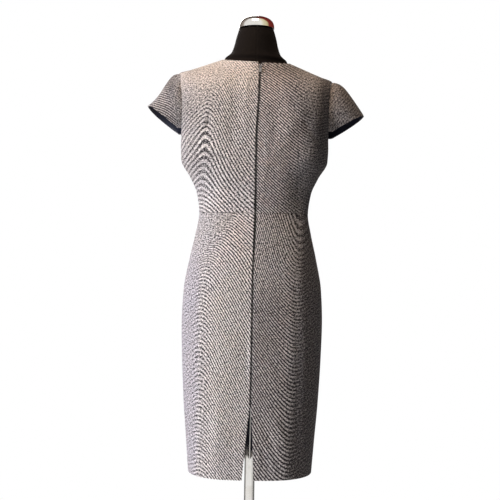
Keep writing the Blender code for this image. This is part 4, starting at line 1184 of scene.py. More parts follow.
def sleeve_surface(start, side, rows, tip_out, tip_height, head_bulge, hem_bulge, front_drop):
    arch = np.linspace(0, math.pi, len(start))
    rise, spring = np.sin(arch) ** 0.75, np.sin(arch) ** 0.3
    low = start[0] + (start[-1] - start[0]) * (arch / math.pi)[:, None]
    near = np.abs(low[:, 0]) + SLEEVE_END_LENGTH
    drop = front_drop * (1 - np.cos(arch)) / 2
    hem = np.stack([
        side * (near + (tip_out - near) * rise),
        low[:, 1] * (1 - spring) + SLEEVE_HEM_DEPTH * np.cos(arch) * spring,
        low[:, 2] + (tip_height - drop - low[:, 2]) * rise], axis=-1)
    radial = unit(np.stack([side * 0.5 * np.sin(arch), np.cos(arch), 0.85 * np.sin(arch)], axis=-1))
    share = np.asarray(rows)[:, None, None]
    bulge = 9.5 * share * (1 - share) ** 3 * head_bulge + 4 * share ** 2 * (1 - share) * hem_bulge
    middle = start[None] * (1 - share) + hem[None] * share + radial[None] * bulge * np.sin(arch)[:, None]
    normal = unit(np.cross(np.gradient(middle, axis=1), np.gradient(middle, axis=0)))
    return middle, normal * np.sign(np.sum(normal * radial[None], axis=-1, keepdims=True))


print("the sleeve's hem starts %.0f mm out from the armhole" % (SLEEVE_END_LENGTH * 1e3))

# %% Creases on the sleeves
# side, place along the arch (0 behind to 1 before), its half width, place down the sleeve, its half, rise
SLEEVE_CREASES = (
    (1, 0.36, 0.060, 0.20, 0.18, -0.0058), (1, 0.24, 0.040, 0.16, 0.16, 0.0026),
    (1, 0.50, 0.035, 0.14, 0.14, 0.0018), (1, 0.26, 0.035, 0.48, 0.22, -0.0030),
    (1, 0.12, 0.030, 0.45, 0.30, -0.0014), (1, 0.66, 0.050, 0.30, 0.26, -0.0030),
    (1, 0.57, 0.030, 0.40, 0.30, 0.0014), (1, 0.82, 0.035, 0.40, 0.30, -0.0016),
    (-1, 0.22, 0.040, 0.20, 0.22, -0.0016), (-1, 0.36, 0.035, 0.12, 0.16, 0.0014),
    (-1, 0.12, 0.030, 0.50, 0.30, -0.0012), (-1, 0.70, 0.050, 0.28, 0.26, -0.0022),
    (-1, 0.58, 0.030, 0.20, 0.20, 0.0012),
)


def sleeve_rise(side, turns, down):
    rise = np.zeros((len(down), len(turns)))
    for on_side, at, half_at, place, half_place, depth in SLEEVE_CREASES:
        if on_side == side:
            rise += depth * bell((turns, at, half_at), (down, place, half_place))
    return rise * smooth_step(0, 0.05, down) * smooth_step(0, 0.08, 1 - down)


print("sleeve creases:", len(SLEEVE_CREASES))

# %% Where a sleeve starts, and its grid
SLEEVE_ROWS = edge_shares(0.105)
# name: tip_out, tip_height, head_bulge, hem_bulge, front_drop
SLEEVE_SHAPES = {"left": (0.2600, 1.3800, 0.009, -0.004, 0.014), "right": (0.2630, 1.3620, 0.011, 0.009, 0.010)}


def sleeve_start(name, side):
    """The sleeve's first row: the armhole's edge, moved out by half a wall and the seam."""
    outer, inner = armhole_edge(name)
    edge, outward = (outer + inner) / 2, outer - inner
    away = unit(np.cross(outward, np.gradient(edge, axis=0)))
    away = (away * np.sign(away[:, :1]) * side)[FINER:-FINER]
    edge = edge[FINER:-FINER]
    normal = sleeve_surface(edge, side, SLEEVE_ROWS, *SLEEVE_SHAPES[name])[1]
    slant = np.abs(np.sum(normal[0] * away, axis=1, keepdims=True))
    gap = SEAM_HALF if side > 0 else SEAM_GAP + SEAM_HALF + SLEEVE_SPARE
    return edge + away * (gap + slant * CLOTH / 2)


def creased_sleeve(name, side, rows):
    """(points half way through the cloth, directions out of it)"""
    start = sleeve_start(name, side)
    surface, normal = sleeve_surface(start, side, rows, *SLEEVE_SHAPES[name])
    return surface + normal * sleeve_rise(side, np.linspace(0, 1, len(start)), rows[:, None])[..., None], normal


for name, side in SIDES:
    tip = np.abs(creased_sleeve(name, side, SLEEVE_ROWS)[0][..., 0]).max()
    print(f"sleeve {name}: tip at {tip * 1e3:.0f} mm out")


# %% The sleeves' tone, with painted light and shade
def sleeve_tone_and_shade(side, upward, turns, down):
    """Painted light and shade: lighter in a band along the armhole; the left sleeve has painted shade in its
    hollow and above it.
    """
    tone_and_shade = (0.11 if side > 0 else 0.08) + 0.12 * bell((upward, 0, 0.022))
    if side > 0:
        tone_and_shade = tone_and_shade - 0.10 * bell((turns, 0.30, 0.07), (down, 0.26, 0.16))
        tone_and_shade = tone_and_shade - 0.16 * bell((turns, 0.50, 0.09), (down, 0.10, 0.10))
    return np.maximum(tone_and_shade, 0.01)


SLEEVE_LINE_STEP, SLEEVE_GRAIN = 0.0062, 0.62


def sleeve_values(side, points, edge):
    across, upward = arc(points, 1), arc(points, 0)
    turns, down = np.linspace(0, 1, points.shape[1]), SLEEVE_ROWS[:, None]
    below = (upward[-1:] - upward) + 0.25 * across * side
    wander = 0.0012 * np.sin(60 * across + 40 * upward)
    high = smooth_step(1.34, 1.43, points[..., 2])
    # the tint on the sleeves is painted warm light, stronger high on the shoulders
    return {"lines": (below + wander) / SLEEVE_LINE_STEP, "tone_and_shade": sleeve_tone_and_shade(side, upward, turns, down),
            "line_strength": 0.14 + 0.44 * smooth_step(0.25, 0.60, down) * (side > 0),
            "light_tint": 0.2 * high if side > 0 else 0.15 + 0.45 * high, "grain": SLEEVE_GRAIN,
            "edge": edge, "dart": DART_FAR, "zip": DART_FAR, "gape": 0.0}


print("right sleeve, cream that shows away from the armhole: %.2f" % sleeve_tone_and_shade(-1, 0.1, 0.5, 0.5))

# %% Sleeves and their linings
THIN = 0.0006                                           # a lining, or a tape
LINING_GAP = 0.0008                                     # from the cloth to its lining, where both are held


def build_sleeve(name, side):
    points, normal = creased_sleeve(name, side, SLEEVE_ROWS)
    across, upward = arc(points, 1), arc(points, 0)
    flat = np.stack([across, -upward], -1)
    # on the left sleeve the edge is moved out, so its painted seam shade is weaker
    edge = np.minimum(upward, np.minimum(across, across[:, -1:] - across)) + (ROLL_WIDTH if side > 0 else 0)
    sink = (0.0002 if side > 0 else 0.0005) * bell((edge, 0, ROLL_WIDTH))
    piece = wall(f"sleeve_{name}_cloth", points + normal * (CLOTH / 2 - sink)[..., None],
                 points - normal * CLOTH / 2, normal, flat, sleeve_values(side, points, edge), SUITING)
    fit(piece, "suiting", f"sleeve_{name}")
    # the lining hangs just inside, from a little way down to just above the hem
    lined, turned = creased_sleeve(name, side, 0.05 + 0.94 * SLEEVE_ROWS)
    near = CLOTH / 2 + LINING_GAP
    lining = wall(f"sleeve_{name}_lining_cloth", lined - turned * near, lined - turned * (near + THIN),
                  turned, flat, {}, LINING_CLOTH)
    fit(lining, "lining", f"sleeve_lining_{name}")
    return piece, lining


for name, side in SIDES:
    print("made:", ", ".join(piece.name for piece in build_sleeve(name, side)))

# %% [markdown]
# ## The skirt's lining
#
# From below, and through the vent, the dark lining shows. It hangs free inside the skirt, a little looser
# towards its hem, which stops above the skirt's own. Its near-black colour also stands in for the shade
# inside the skirt, as a painted shadow. It could be simulated, but the space between skirt and
# form is narrow. So it is one ring a few millimetres inside the skirt, with soft uneven waves, open at the
# vent. Only its lower part is built, since the rest never shows.


# %% Skirt lining
LINING_HEM, LINING_TOP, LINING_VENT, LINING_EASE = 0.516, 0.830, 1.7, 0.0025


def build_skirt_lining():
    heights = np.linspace(LINING_HEM, LINING_TOP, 70)
    first = angle_at_width(heights, vent_opening(heights) * LINING_VENT + SEAM_HALF, True)
    angles = first[:, None] + (2 * math.pi - 2 * first[:, None]) * np.linspace(0, 1, 260)
    points, normals = skin(angles, heights[:, None]), skin_normal(angles, heights[:, None])
    points = points + normals * folds_at(points)[..., None]
    loose = smooth_step(LINING_TOP - 0.05, LINING_TOP - 0.20, heights)[:, None]
    waves = 0.0011 * (1 + np.sin(23 * angles + 3 * np.sin(9 * heights[:, None]))) * loose
    hidden = np.where(heights > LINING_TOP - 0.04, LINING_GAP, LINING_EASE)[:, None, None]
    outer = points - normals * (CLOTH + hidden + waves[..., None])
    flat = flat_cut(outer)
    piece = wall("skirt_lining_cloth", outer, outer - normals * THIN, normals, flat, {}, LINING_CLOTH)
    fit(piece, "lining", "skirt_lining")
    return piece


print("skirt lining:", len(build_skirt_lining().data.polygons), "faces")

# %% [markdown]
# ## The turned-up hem and the vent's folded edges
#
# The skirt ends in a hem of four centimetres, turned up inside, and the vent's two edges are folded back by
# three. The panels could be made longer and bent round, but the fold is so tight that its faces would
# cross. So each turning is a strip of its own, just inside its panel, and a thin gap between the two reads
# as the fold.


# %% Strips inside the skirt
HEM_TURN, VENT_TURN = 0.040, 0.030
HEM_TURN_THICK, FACING_THICK = 0.0012, 0.0009
STRIP_VALUES = {"line_strength": 0.5, "tone_and_shade": 0.22, "light_tint": 0.0, "grain": 1.0,
                "dart": DART_FAR, "edge": DART_FAR, "zip": DART_FAR, "gape": 0.0}


def inside_strip(name, angles, heights, thickness, owner):
    """A strip of the suiting against the inside of the skirt, sewn to one of its panels."""
    points, normals = skin(angles, heights), skin_normal(angles, heights)
    points = points + normals * (folds_at(points) + creases_at(points))[..., None]
    outer = points - normals * (CLOTH + SEAM_GAP)
    flat = flat_cut(outer)
    piece = wall(name, outer, outer - normals * thickness, normals, flat,
                 {"lines": lines_at(points, owner)[0], **STRIP_VALUES}, SUITING)
    fit(piece, "suiting")
    return piece


print("hem turned up by %.0f mm, vent folded back by %.0f mm" % (HEM_TURN * 1e3, VENT_TURN * 1e3))

# %% Hem turnings
QUARTER, SIDE_SPARE = math.pi / 2, 0.004                # angles; the strips end just short of the side seams
drift = float(centre_back(HEM_HEIGHT))
left_edge = float(angle_at_width(HEM_HEIGHT, VENT_HALF_GAP + drift, True))
right_edge = float(angle_at_width(HEM_HEIGHT, VENT_HALF_GAP - drift, True))
HEM_TURNINGS = (
    ("left", "skirt_back_left", left_edge, QUARTER - SIDE_SPARE),
    ("right", "skirt_back_right", SIDE_SPARE - QUARTER, -right_edge),
    ("front", "skirt_front", QUARTER + SIDE_SPARE, 3 * QUARTER - SIDE_SPARE),
)
heights = np.linspace(HEM_HEIGHT + 0.0002, HEM_HEIGHT + HEM_TURN, 10)[:, None]
for name, owner, first, last in HEM_TURNINGS:
    angles = np.broadcast_to(np.linspace(first, last, 60), (10, 60))
    print(inside_strip(f"hem_turn_{name}", angles, heights, HEM_TURN_THICK, owner).name)

# %% Vent facings
heights = np.linspace(HEM_HEIGHT + HEM_TURN + 0.001, VENT_TOP - 0.004, 40)
for name, side in SIDES:
    opening = side * centre_back(heights) + vent_opening(heights) + SEAM_HALF
    inner, outer = (angle_at_width(heights, opening + turned, True)[:, None] for turned in (VENT_TURN, 0))
    angles = side * (outer + (inner - outer) * np.linspace(0, 1, 10))
    owner = f"skirt_back_{name}"
    print(inside_strip(f"vent_facing_{name}", angles, heights[:, None], FACING_THICK, owner).name)

# %% [markdown]
# ## Metal with small wear
#
# A zip's slider is enamelled grey metal, and the stand is polished steel. One flat roughness would look like
# plastic, because real metal has smudges and fine scratches. So a node group gives both, and each metal
# turns them into its own roughness and dullness. The group gives only masks, and the shader stays in the
# material, where the export can read it.


# %% A node group for smudges and scratches
def wear_group():
    tree, given, wanted = group("Small wear", [("Place", "NodeSocketVector")],
                                [("Smudge", "NodeSocketFloat"), ("Scratch", "NodeSocketFloat")])
    smudge = noise(tree, given["Place"], 38, 4.0, 0.6)
    scratch = noise(tree, stretched(tree, given["Place"], (1, 1, 0.04)), 900, 2.0, 0.6)
    tree.links.new(between(tree, smudge, 0.38, 0.68), wanted["Smudge"])
    tree.links.new(between(tree, scratch, 0.45, 0.75), wanted["Scratch"])
    return tree


WEAR = wear_group()
print("node group:", WEAR.name)


# %% The two metals
def metal_material(name, colour, dull, rough_low, rough_high, **constants):
    made, tree, shader = new_material(name, colour, Metallic=1.0, **constants)
    place = tree.nodes.new("ShaderNodeTexCoord").outputs["Object"]
    wear = use_group(tree, WEAR, Place=place)
    worn = maths(tree, "MULTIPLY_ADD", wear["Scratch"], 0.35, times(tree, wear["Smudge"], 0.65))
    tree.links.new(between(tree, worn, 0, 1, rough_low, rough_high), shader.inputs["Roughness"])
    tree.links.new(blended(tree, worn, (*colour, 1), (*dull, 1)), shader.inputs["Base Color"])
    bump(tree, shader, wear["Scratch"], 0.08, 0.00005)
    return made


ZIP_METAL = metal_material("Grey zip metal", (0.100, 0.100, 0.104), (0.065, 0.064, 0.064), 0.52, 0.74)
CHROME = metal_material("Polished steel", (0.80, 0.78, 0.75), (0.66, 0.63, 0.58), 0.05, 0.20)
print("metals:", ZIP_METAL.name, "and", CHROME.name)

# %% [markdown]
# ## The zip's slider and pull
#
# The slider is a small wedge that joins the teeth, and the pull is the tab that the fingers hold. The
# slider's solid already has the right shape, so it stays and only gets the metal. The pull is cut from thin
# sheet, whose edges are broken, and a bevel of a fifth of a millimetre is enough for that. It rides on its
# own body, since it turns.


# %% Slider and pull
PULL_BEVEL = 0.00018
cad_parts["zip_slider"].material_slots[0].material = ZIP_METAL


def rounded_copy(node, name, width, material, body, slot_name):
    """A copy of a solid with its edges broken."""
    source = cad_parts[node]
    piece = new_piece(name, source.data.copy())
    piece.matrix_world = source.matrix_world.copy()
    piece.data.materials.clear()
    piece.data.materials.append(material)
    bevel = piece.modifiers.new("rounded edges", "BEVEL")
    bevel.width, bevel.segments, bevel.limit_method, bevel.angle_limit = width, 2, "ANGLE", math.radians(40)
    piece.data.shade_smooth()
    fit(piece, slot_name, node, body)
    return piece


pull = rounded_copy("zip_pull", "zip_pull_tab", PULL_BEVEL, ZIP_METAL, "zip_pull", "zip_metal")
print("pull: %.1f mm long" % (max(pull.dimensions) * 1e3))

# %% [markdown]
# ## The zip's tapes
#
# Each half of a zip is woven on a tape, which is sewn to the cloth's inside. The solids have plain strips
# there, and since no plain solid of cloth should show, each is made again as a thin ribbon that
# follows the cloth with all its creases. Its herringbone is two sets of slanted ribs, drawn by one sine.


# %% Herringbone tape
RIB_EVERY, BONE_HALF_WIDTH, BONE_SLANT = 0.0011, 0.0012, 1.4


def tape_material():
    made, tree, shader = new_material("Zip tape", (0.25, 0.24, 0.24), Roughness=0.75)
    x, _, z = separated(tree, tree.nodes.new("ShaderNodeTexCoord").outputs["Object"])
    slant = times(tree, maths(tree, "PINGPONG", x, BONE_HALF_WIDTH), BONE_SLANT)
    turn = times(tree, plus(tree, z, slant), 2 * math.pi / RIB_EVERY)
    ribs = maths(tree, "SINE", turn)
    tree.links.new(blended(tree, between(tree, ribs, -1, 1), (0.34, 0.32, 0.31, 1), (0.62, 0.59, 0.57, 1)),
                   shader.inputs["Base Color"])
    bump(tree, shader, ribs, 0.4, 0.0001)
    return made


TAPE_CLOTH = tape_material()
print("material:", TAPE_CLOTH.name)

# %% Zip tapes
ZIP_TOP, TAPE_WIDTH, TAPE_GAP, TAPE_SHOWS = 1.4700, 0.0105, 0.0004, 0.0006


def build_tape(name, side):
    heights = np.linspace(ZIP_BOTTOM, ZIP_TOP, 180)
    # the tape's edge shows a little where the cloth parts at the top
    edge = side * centre_back(heights) + ZIP_HALF + TAPE_SHOWS * smooth_step(1.448, ZIP_TOP, heights)
    across = edge[:, None] + TAPE_WIDTH * np.linspace(0, 1, 7)
    points, normals = cloth_face(side * angle_at_width(heights[:, None], across, True), heights[:, None])
    outer = points - normals * (CLOTH + TAPE_GAP)
    flat = flat_cut(outer)
    piece = wall(f"zip_tape_{name}_ribbon", outer, outer - normals * THIN, normals, flat, {}, TAPE_CLOTH)
    fit(piece, "zip_tape", f"zip_tape_{name}")
    return piece


for name, side in SIDES:
    print(build_tape(name, side).name)

# %% [markdown]
# ## The zip's teeth
#
# The teeth of a dress zip are one nylon coil along each tape, finer than a millimetre. A curve with a bevel
# would do, but it makes round wire with many faces. Here the coil is a helix of four-sided wire, laid
# along the slit, just behind the cloth.


# %% Zip teeth: a fine coil along each tape
COIL_PITCH, COIL_RADIUS, WIRE = 0.0016, 0.00030, 0.00016
COIL_ASIDE, COIL_BEHIND = 0.00042, 0.00050              # from the middle of the zip, and behind the cloth


def round_quads(index):
    """The faces of a grid of point numbers whose last column meets its first."""
    after = np.roll(index, -1, axis=1)
    return np.stack([index[:-1], after[:-1], after[1:], index[1:]], axis=-1).reshape(-1, 4)


def coil(side):
    """The four edges of the wire of one half of the zip, all along it."""
    heights = np.arange(ZIP_BOTTOM + 0.004, 1.455, COIL_PITCH / 6)
    angle = angle_at_width(heights, side * COIL_ASIDE + centre_back(heights), True)
    points, normals = skin(angle, heights), skin_normal(angle, heights)
    centre = points - normals * (CLOTH + COIL_BEHIND)
    turn = 2 * math.pi * heights / COIL_PITCH
    tangent = unit(np.cross(normals, np.gradient(centre, axis=0)))
    wire = centre + normals * (COIL_RADIUS * 0.8 * np.cos(turn))[:, None]
    wire = wire + tangent * (COIL_RADIUS * np.sin(turn))[:, None]
    along = unit(np.gradient(wire, axis=0))
    aside = unit(np.cross(along, normals))
    up = np.cross(aside, along)
    return np.stack([wire + aside * WIRE, wire + up * WIRE, wire - aside * WIRE, wire - up * WIRE], axis=1)


coils = [coil(side) for name, side in SIDES]
half = len(coils[0])
index = np.arange(8 * half).reshape(-1, 4)
faces = np.concatenate([round_quads(index[:half]), round_quads(index[half:])])
teeth = new_piece("zip_teeth", new_mesh(
    "zip_teeth", np.concatenate(coils).reshape(-1, 3).tolist(), faces.tolist(), ZIP_METAL))
fit(teeth, "zip_metal")
print("zip teeth:", len(faces), "faces")

# %% [markdown]
# ## Small hand stitches
#
# A row of pale prick stitches holds the neckline's facing, about seventeen millimetres apart. They could be
# dots in the cloth's material, but a stitch stands up from the cloth and catches the light. So each is a
# small flat bead of thread, half sunk in the cloth, and all of them are one mesh.


# %% Cream thread
def thread_material():
    made, tree, shader = new_material("Cream thread", (0.82, 0.76, 0.68), Roughness=0.6)
    twist = noise(tree, tree.nodes.new("ShaderNodeTexCoord").outputs["Object"], 2600, 2.0)
    tree.links.new(blended(tree, twist, (0.66, 0.60, 0.52, 1), (0.90, 0.85, 0.78, 1)),
                   shader.inputs["Base Color"])
    bump(tree, shader, twist, 0.5, 0.0001)
    return made


THREAD = thread_material()
print("material:", THREAD.name)

# %% Prick stitches along the neckline
STITCH_EVERY, STITCH_BELOW = 0.0172, 0.0042             # apart, and below the neckline's edge
STITCH_HALF_LENGTH, STITCH_HALF_WIDTH, STITCH_HALF_HEIGHT, STITCH_UP = 0.0016, 0.0009, 0.0005, 0.00025
BEAD_RINGS, BEAD_STEPS = 6, 8


def stitch_places(is_back, side):
    """(place, direction out of the cloth, direction along the neckline) of every stitch of one side"""
    grid = half_bodice(side if is_back else 1, is_back, FINER)
    line = grid[-1, :(COLUMNS_UNDER_NECKLINE - 1) * FINER + 1] * np.array([side, 1])
    lengths = arc(cloth_face(line[:, 0], line[:, 1])[0], 0)
    for s in np.arange(0.011, lengths[-1] - 0.004, STITCH_EVERY):
        angles, heights = (np.interp([s, s + 0.002], lengths, line[:, k]) for k in (0, 1))
        (spot, ahead), (normal, _) = cloth_face(angles, heights - STITCH_BELOW)
        yield spot, normal, unit(ahead - spot)


def bead(spot, normal, tangent):
    """The points of one stitch, ring by ring from end to end: a small flat bead, half sunk."""
    aside = np.cross(normal, tangent)
    phi = np.linspace(0, math.pi, BEAD_RINGS)[:, None, None]
    turn = 2 * math.pi * np.arange(BEAD_STEPS)[None, :, None] / BEAD_STEPS
    ring = aside * np.cos(turn) * STITCH_HALF_WIDTH + normal * np.sin(turn) * STITCH_HALF_HEIGHT
    return spot + normal * STITCH_UP - tangent * STITCH_HALF_LENGTH * np.cos(phi) + ring * np.sin(phi)


beads = np.array([bead(*place) for is_back in (True, False) for name, side in SIDES
                  for place in stitch_places(is_back, side)])
index = np.arange(beads[..., 0].size).reshape(beads.shape[:3])
faces = np.concatenate([round_quads(one) for one in index])
stitches = new_piece("neckline_stitches", new_mesh(
    "neckline_stitches", beads.reshape(-1, 3).tolist(), faces.tolist(), THREAD))
fit(stitches, "suiting")
print("stitches:", len(beads))

# %% [markdown]
# ## The dress form
#
# The form stands in for a body: foam in a tight cover of black jersey, a fine knit with a seam down the
# back. A knit could be modelled loop by loop, but from here it is only a soft roughness. So the columns of
# loops and the rows between them are two waves in the bump, with a little pale lint on top.


# %% Jersey
WALE, COURSE = 0.0012, 0.0010                           # between columns of loops, and between their rows


def jersey_material():
    made, tree, shader = new_material("Black jersey", (0.007, 0.005, 0.004), Roughness=0.9,
                                      Sheen_Weight=0.012, Sheen_Roughness=0.5, Specular_IOR_Level=0.06)
    place = flat_place(tree)
    u, v, _ = separated(tree, place)
    wales = maths(tree, "ABSOLUTE", maths(tree, "SINE", times(tree, u, math.pi / WALE)))
    turn = maths(tree, "MULTIPLY_ADD", v, 2 * math.pi / COURSE, times(tree, wales, 2.2))
    courses = times(tree, maths(tree, "SINE", turn), 0.2)
    knit = plus(tree, times(tree, wales, 0.6), courses)
    lint = between(tree, noise(tree, place, 700, 2.0), 0.72, 0.82, 0, 0.25)
    fade = noise(tree, place, 16, 3.0)
    colour = blended(tree, fade, (0.0040, 0.0027, 0.0020, 1), (0.0095, 0.0065, 0.0048, 1))
    tree.links.new(blended(tree, lint, colour, (0.10, 0.085, 0.075, 1)), shader.inputs["Base Color"])
    seam = between(tree, attribute(tree, "edge"), 0.0, 0.0016, 0.0, 1.0)
    bump(tree, shader, plus(tree, knit, times(tree, seam, 2.0)), 0.5, 0.0004)
    return made


JERSEY = jersey_material()
print("material:", JERSEY.name)

# %% [markdown]
# ## The form's torso
#
# The torso is limbless and closed, and the dress rests on its shoulders and bust. It could be sculpted, but it
# must stay clear of the cloth everywhere. So it is the cloth's own skin, moved in by the inset of each level,
# which is the same as its solid's, with more rows.

# %% The torso's surface
FORM_BOTTOM, FORM_MIDDLE, FORM_TOP = 0.790, 1.40, 1.5625     # the rows are closer above the middle one


def torso_surface():
    heights = np.concatenate([np.linspace(FORM_BOTTOM, FORM_MIDDLE, 110),
                              np.linspace(FORM_MIDDLE, FORM_TOP, 90)[1:]])
    angles = np.linspace(0, 2 * math.pi, 192, endpoint=False)
    angle, height = np.meshgrid(angles, heights)
    side = np.sin(angle) ** 4
    inset = section(height, "inset") * (1 - side) + section(height, "side_inset") * side
    # small settled wrinkles where the jersey bends from the neck to the shoulders
    wrinkles = 0.0005 * bell((height, 1.500, 0.010)) * (1 + np.sin(5 * angle + 2))
    return skin(angle, height) - skin_normal(angle, height) * (inset + wrinkles)[..., None], height


print("the torso's neck: %.0f mm across" % (np.ptp(torso_surface()[0][-1, :, 0]) * 1e3))


# %% Torso
def build_form():
    points, height = torso_surface()
    index = np.arange(height.size).reshape(height.shape)
    faces = round_quads(index)[:, ::-1].tolist()
    # two fans close it, each round a point of its own
    ends = [[0, 0, FORM_BOTTOM], [0, 0, FORM_TOP]]
    for row, tip in ((index[0], height.size), (index[-1][::-1], height.size + 1)):
        faces += [(a, b, tip) for a, b in zip(row.tolist(), np.roll(row, -1).tolist())]
    mesh = new_mesh("form_torso_jersey", points.reshape(-1, 3).tolist() + ends, faces, JERSEY, 50)
    around = arc(points, 1)
    store_flat(mesh, np.concatenate([np.stack([around, height], -1).reshape(-1, 2), [[0, 0], [0, 0]]]))
    seam = np.minimum(around, around.max(1, keepdims=True) - around)
    store_value(mesh, "edge", np.concatenate([seam.ravel(), [1, 1]]))
    piece = new_piece("form_torso_jersey", mesh)
    fit(piece, "jersey", "form_torso")
    return piece


print("form:", len(build_form().data.polygons), "faces")

# %% [markdown]
# ## The stand
#
# Cap, collar, pole and base are turned parts: a lathe, or a press, gives them a round shape about one axis. A
# Screw modifier does that in Blender, from a drawn profile. Here the same is done in a few lines, because
# the profiles are the solids' own. Polished metal shows every corner as a bright line, so each corner of a
# profile is cut twice, and there are many more steps round than the solids have.

# %% Profiles: radius and rise
STEPS = 144
CAP_R, POLE_R, BASE_R, GAP = 0.0432, 0.0125, 0.170, 0.0003
SOCKET = POLE_R + GAP
CAP = ((0, 0), (1, 0), (1, 0.0100), (0.966, 0.0172), (0.86, 0.0238), (0.66, 0.0295), (0.38, 0.0323),
       (0, 0.0330))
TURNED = {
    "neck_cap": (FORM_TOP + GAP, [(share * CAP_R, rise) for share, rise in CAP]),
    "form_collar": (0, [(0, 0.786), (SOCKET, 0.786), (SOCKET, 0.768), (0.019, 0.768), (0.019, 0.783),
                        (0.034, 0.785), (0.034, 0.7897), (0, 0.7897)]),
    "pole": (0, [(0, 0.0123), (POLE_R, 0.0123), (POLE_R, 0.30), (POLE_R, 0.55), (POLE_R, 0.7857), (0, 0.7857)]),
    "base": (0, [(0, 0), (BASE_R - 0.002, 0), (BASE_R, 0.002), (BASE_R, 0.006), (BASE_R - 0.004, 0.009),
                 (0.038, 0.016), (0.030, 0.020), (0.021, 0.026), (0.0195, 0.048), (0.0175, 0.050),
                 (SOCKET, 0.050), (SOCKET, 0.012), (0, 0.012)]),
}
print("base: %.0f mm across" % (2e3 * BASE_R))


# %% Softening a profile's corners
def softened(profile, most):
    """Cut each corner of a profile twice, by a little, so that it is round."""
    points = [np.array(p, float) for p in profile]
    for _ in range(2):
        out = [points[0]]
        for before, here, after in zip(points, points[1:], points[2:]):
            for other in (before, after):
                reach = min(0.3 * np.linalg.norm(other - here), most)
                out.append(here + unit(other - here) * reach)
        points = out + [points[-1]]
    return points


print("points of the base's profile, softened:", len(softened(TURNED["base"][1], 0.0008)))


# %% Turning a profile
def build_turned(node, height, profile):
    vertices, rings, faces = [], [], []
    for radius, rise in softened(profile, 0.02 if node == "neck_cap" else 0.0008):
        count = 1 if radius < 1e-9 else STEPS
        rings.append(range(len(vertices), len(vertices) + count))
        turns = 2 * math.pi * np.arange(count) / STEPS
        vertices += [(radius * math.cos(turn), radius * math.sin(turn), height + rise) for turn in turns]
    for low, high in zip(rings, rings[1:]):
        for k in range(STEPS):
            m = (k + 1) % STEPS
            corners = [low[k % len(low)], low[m % len(low)], high[m % len(high)], high[k % len(high)]]
            faces.append(list(dict.fromkeys(corners)))
    piece = new_piece(f"{node}_turned", new_mesh(f"{node}_turned", vertices, faces, CHROME, 35))
    fit(piece, "polished_steel", node)
    return piece


for node, (height, profile) in TURNED.items():
    print(build_turned(node, height, profile).name)

# %% [markdown]
# ## The floor
#
# The stand is on a pale floor, which fades into white. A plane as wide as the room would show its far edge
# as a line. So it is a round disc whose rim shines a little, until it is as white as the room.


# %% Floor
FLOOR_RADIUS, FLOOR_STEPS = 1.4, 96
FADE_FROM, FADE_TO = 0.75, 1.38                         # from the middle, where the floor starts to shine


def floor_material():
    made, tree, shader = new_material("Pale floor", (0.86, 0.86, 0.86), Roughness=0.8)
    place = tree.nodes.new("ShaderNodeTexCoord").outputs["Object"]
    tree.links.new(blended(tree, noise(tree, place, 6, 3.0), (0.84, 0.84, 0.84, 1), (0.88, 0.88, 0.88, 1)),
                   shader.inputs["Base Color"])
    far = tree.nodes.new("ShaderNodeVectorMath")
    far.operation = "LENGTH"
    tree.links.new(place, far.inputs[0])
    shader.inputs["Emission Color"].default_value = (1, 1, 1, 1)
    tree.links.new(between(tree, far.outputs["Value"], FADE_FROM, FADE_TO, 0.0, 0.55),
                   shader.inputs["Emission Strength"])
    return made


turns = 2 * math.pi * np.arange(FLOOR_STEPS) / FLOOR_STEPS
rim = [(FLOOR_RADIUS * math.cos(turn), FLOOR_RADIUS * math.sin(turn), 0) for turn in turns]
floor = new_piece("floor", new_mesh("floor", rim, [list(range(FLOOR_STEPS))], floor_material()))
print("floor: %.1f m across" % (2 * FLOOR_RADIUS))

# %% [markdown]
# ## The lights
#
# The dress was seen in a room with a large window on the wearer's left, so its left half is bright and its
# right one dark. A sun lamp would draw hard edges on the folds. So the key is a soft panel of light at the
# left, with a cooler window beyond it, a small warm lamp above the shoulders, and a very weak fill from
# behind the camera. The last panel lights the front, which this camera doesn't see.


# %% Lights
def soft_light(name, place, target, width, height, watts, colour):
    light = bpy.data.lights.new(name, "AREA")
    light.shape, light.size, light.size_y = "RECTANGLE", width, height
    light.energy, light.color = watts, colour
    lamp = new_piece(name, light)
    lamp.location = place
    lamp.rotation_euler = (Vector(target) - Vector(place)).to_track_quat("-Z", "Y").to_euler()
    print(f"light {name}: {watts} W")


soft_light("key", (2.35, 1.50, 1.35), (0, 0, 0.98), 0.9, 1.5, 100, (0.95, 0.955, 1.0))
soft_light("window", (2.3, -0.7, 1.2), (0, 0, 1.0), 0.8, 1.4, 22, (0.85, 0.82, 1.0))
soft_light("top", (0.2, 0.9, 3.1), (0, 0, 1.3), 0.9, 0.9, 30, (1.0, 0.84, 0.70))
soft_light("fill", (-0.6, 2.9, 1.4), (0, 0, 1.0), 1.6, 1.6, 1.5, (0.96, 0.97, 1.0))
soft_light("front", (0.8, -2.6, 2.2), (0, 0, 1.0), 1.6, 1.6, 60, (1.0, 0.98, 0.96))

# %% [markdown]
# ## The room that the metal mirrors
#
# Polished metal has no colour of its own and shows the room: white behind the camera, cream and then red-brown
# on one side, grey on the other. A photographed room would do this too, but no pictures are used here. So the
# walls are a ramp of colours by bearing, seen only by mirroring rays. The cloth gets a weak even light
# from the room, and the camera sees plain white.

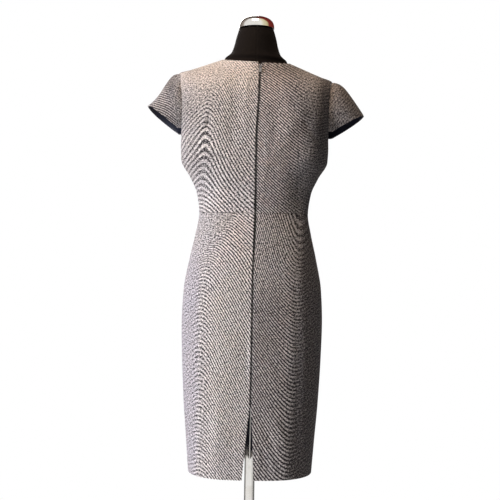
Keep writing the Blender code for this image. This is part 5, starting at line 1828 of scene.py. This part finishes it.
# %% The room
world = bpy.data.worlds.new("white room")
bpy.context.scene.world = world
world.use_nodes = True
tree = world.node_tree
background = tree.nodes["Background"]
ray = tree.nodes.new("ShaderNodeLightPath").outputs
x, y, z = separated(tree, tree.nodes.new("ShaderNodeTexCoord").outputs["Generated"])
bearing = maths(tree, "ARCTAN2", times(tree, x, -1.0), y)
ramp = tree.nodes.new("ShaderNodeValToRGB")
WALLS = ((0.0, (0.10, 0.08, 0.07)), (0.16, (0.22, 0.19, 0.17)), (0.23, (0.40, 0.35, 0.32)),
         (0.27, (0.96, 0.96, 0.96)), (0.58, (0.98, 0.98, 0.95)), (0.62, (0.88, 0.84, 0.66)),
         (0.71, (0.70, 0.62, 0.36)), (0.75, (0.24, 0.03, 0.025)), (1.0, (0.10, 0.02, 0.016)))
for place, colour in WALLS:
    stop = ramp.color_ramp.elements.new(place) if 0 < place < 1 else ramp.color_ramp.elements[-int(place)]
    stop.color = (*colour, 1)
tree.links.new(maths(tree, "MULTIPLY_ADD", bearing, 0.5 / math.pi, 0.5), ramp.inputs["Fac"])
# the colours are on the walls' upper part; lower down the room is grey
plain = tree.nodes.new("ShaderNodeHueSaturation")
tree.links.new(ramp.outputs["Color"], plain.inputs["Color"])
tree.links.new(between(tree, z, -0.02, 0.12), plain.inputs["Saturation"])
felt = blended(tree, ray["Is Glossy Ray"], (0.027, 0.0276, 0.030, 1), plain.outputs["Color"])
tree.links.new(blended(tree, ray["Is Camera Ray"], felt, (1, 1, 1, 1)), background.inputs["Color"])
print("stretches of wall:", len(WALLS))

# %% [markdown]
# ## The camera
#
# The picture was taken straight from behind, at the height of the waist, a little over two metres away. A
# longer lens from further off would look flatter, and the hem would seem wider. The lens is worked out from
# how many pixels a metre fills, and the axis is moved by a shift, since turning the camera would tilt the
# upright lines.

# %% Camera
IMAGE = 500
FOCAL_PIXELS, DISTANCE, EYE_HEIGHT = 905, 2.2, 1.030
AXIS_PIXEL, ROLL_DEGREES = 253.0, 0.9
camera = bpy.data.cameras.new("camera")
camera.sensor_width = 36
camera.lens = FOCAL_PIXELS * camera.sensor_width / IMAGE
camera.shift_x = -(AXIS_PIXEL - IMAGE / 2) / IMAGE
view = new_piece("camera", camera)
view.location = (0, DISTANCE, EYE_HEIGHT)
view.rotation_euler = (math.radians(90), math.radians(-ROLL_DEGREES), math.radians(180))
bpy.context.scene.camera = view
bpy.context.scene.view_settings.view_transform = "Standard"
bpy.context.scene.view_settings.look = "None"
print("lens: %.1f mm" % camera.lens)
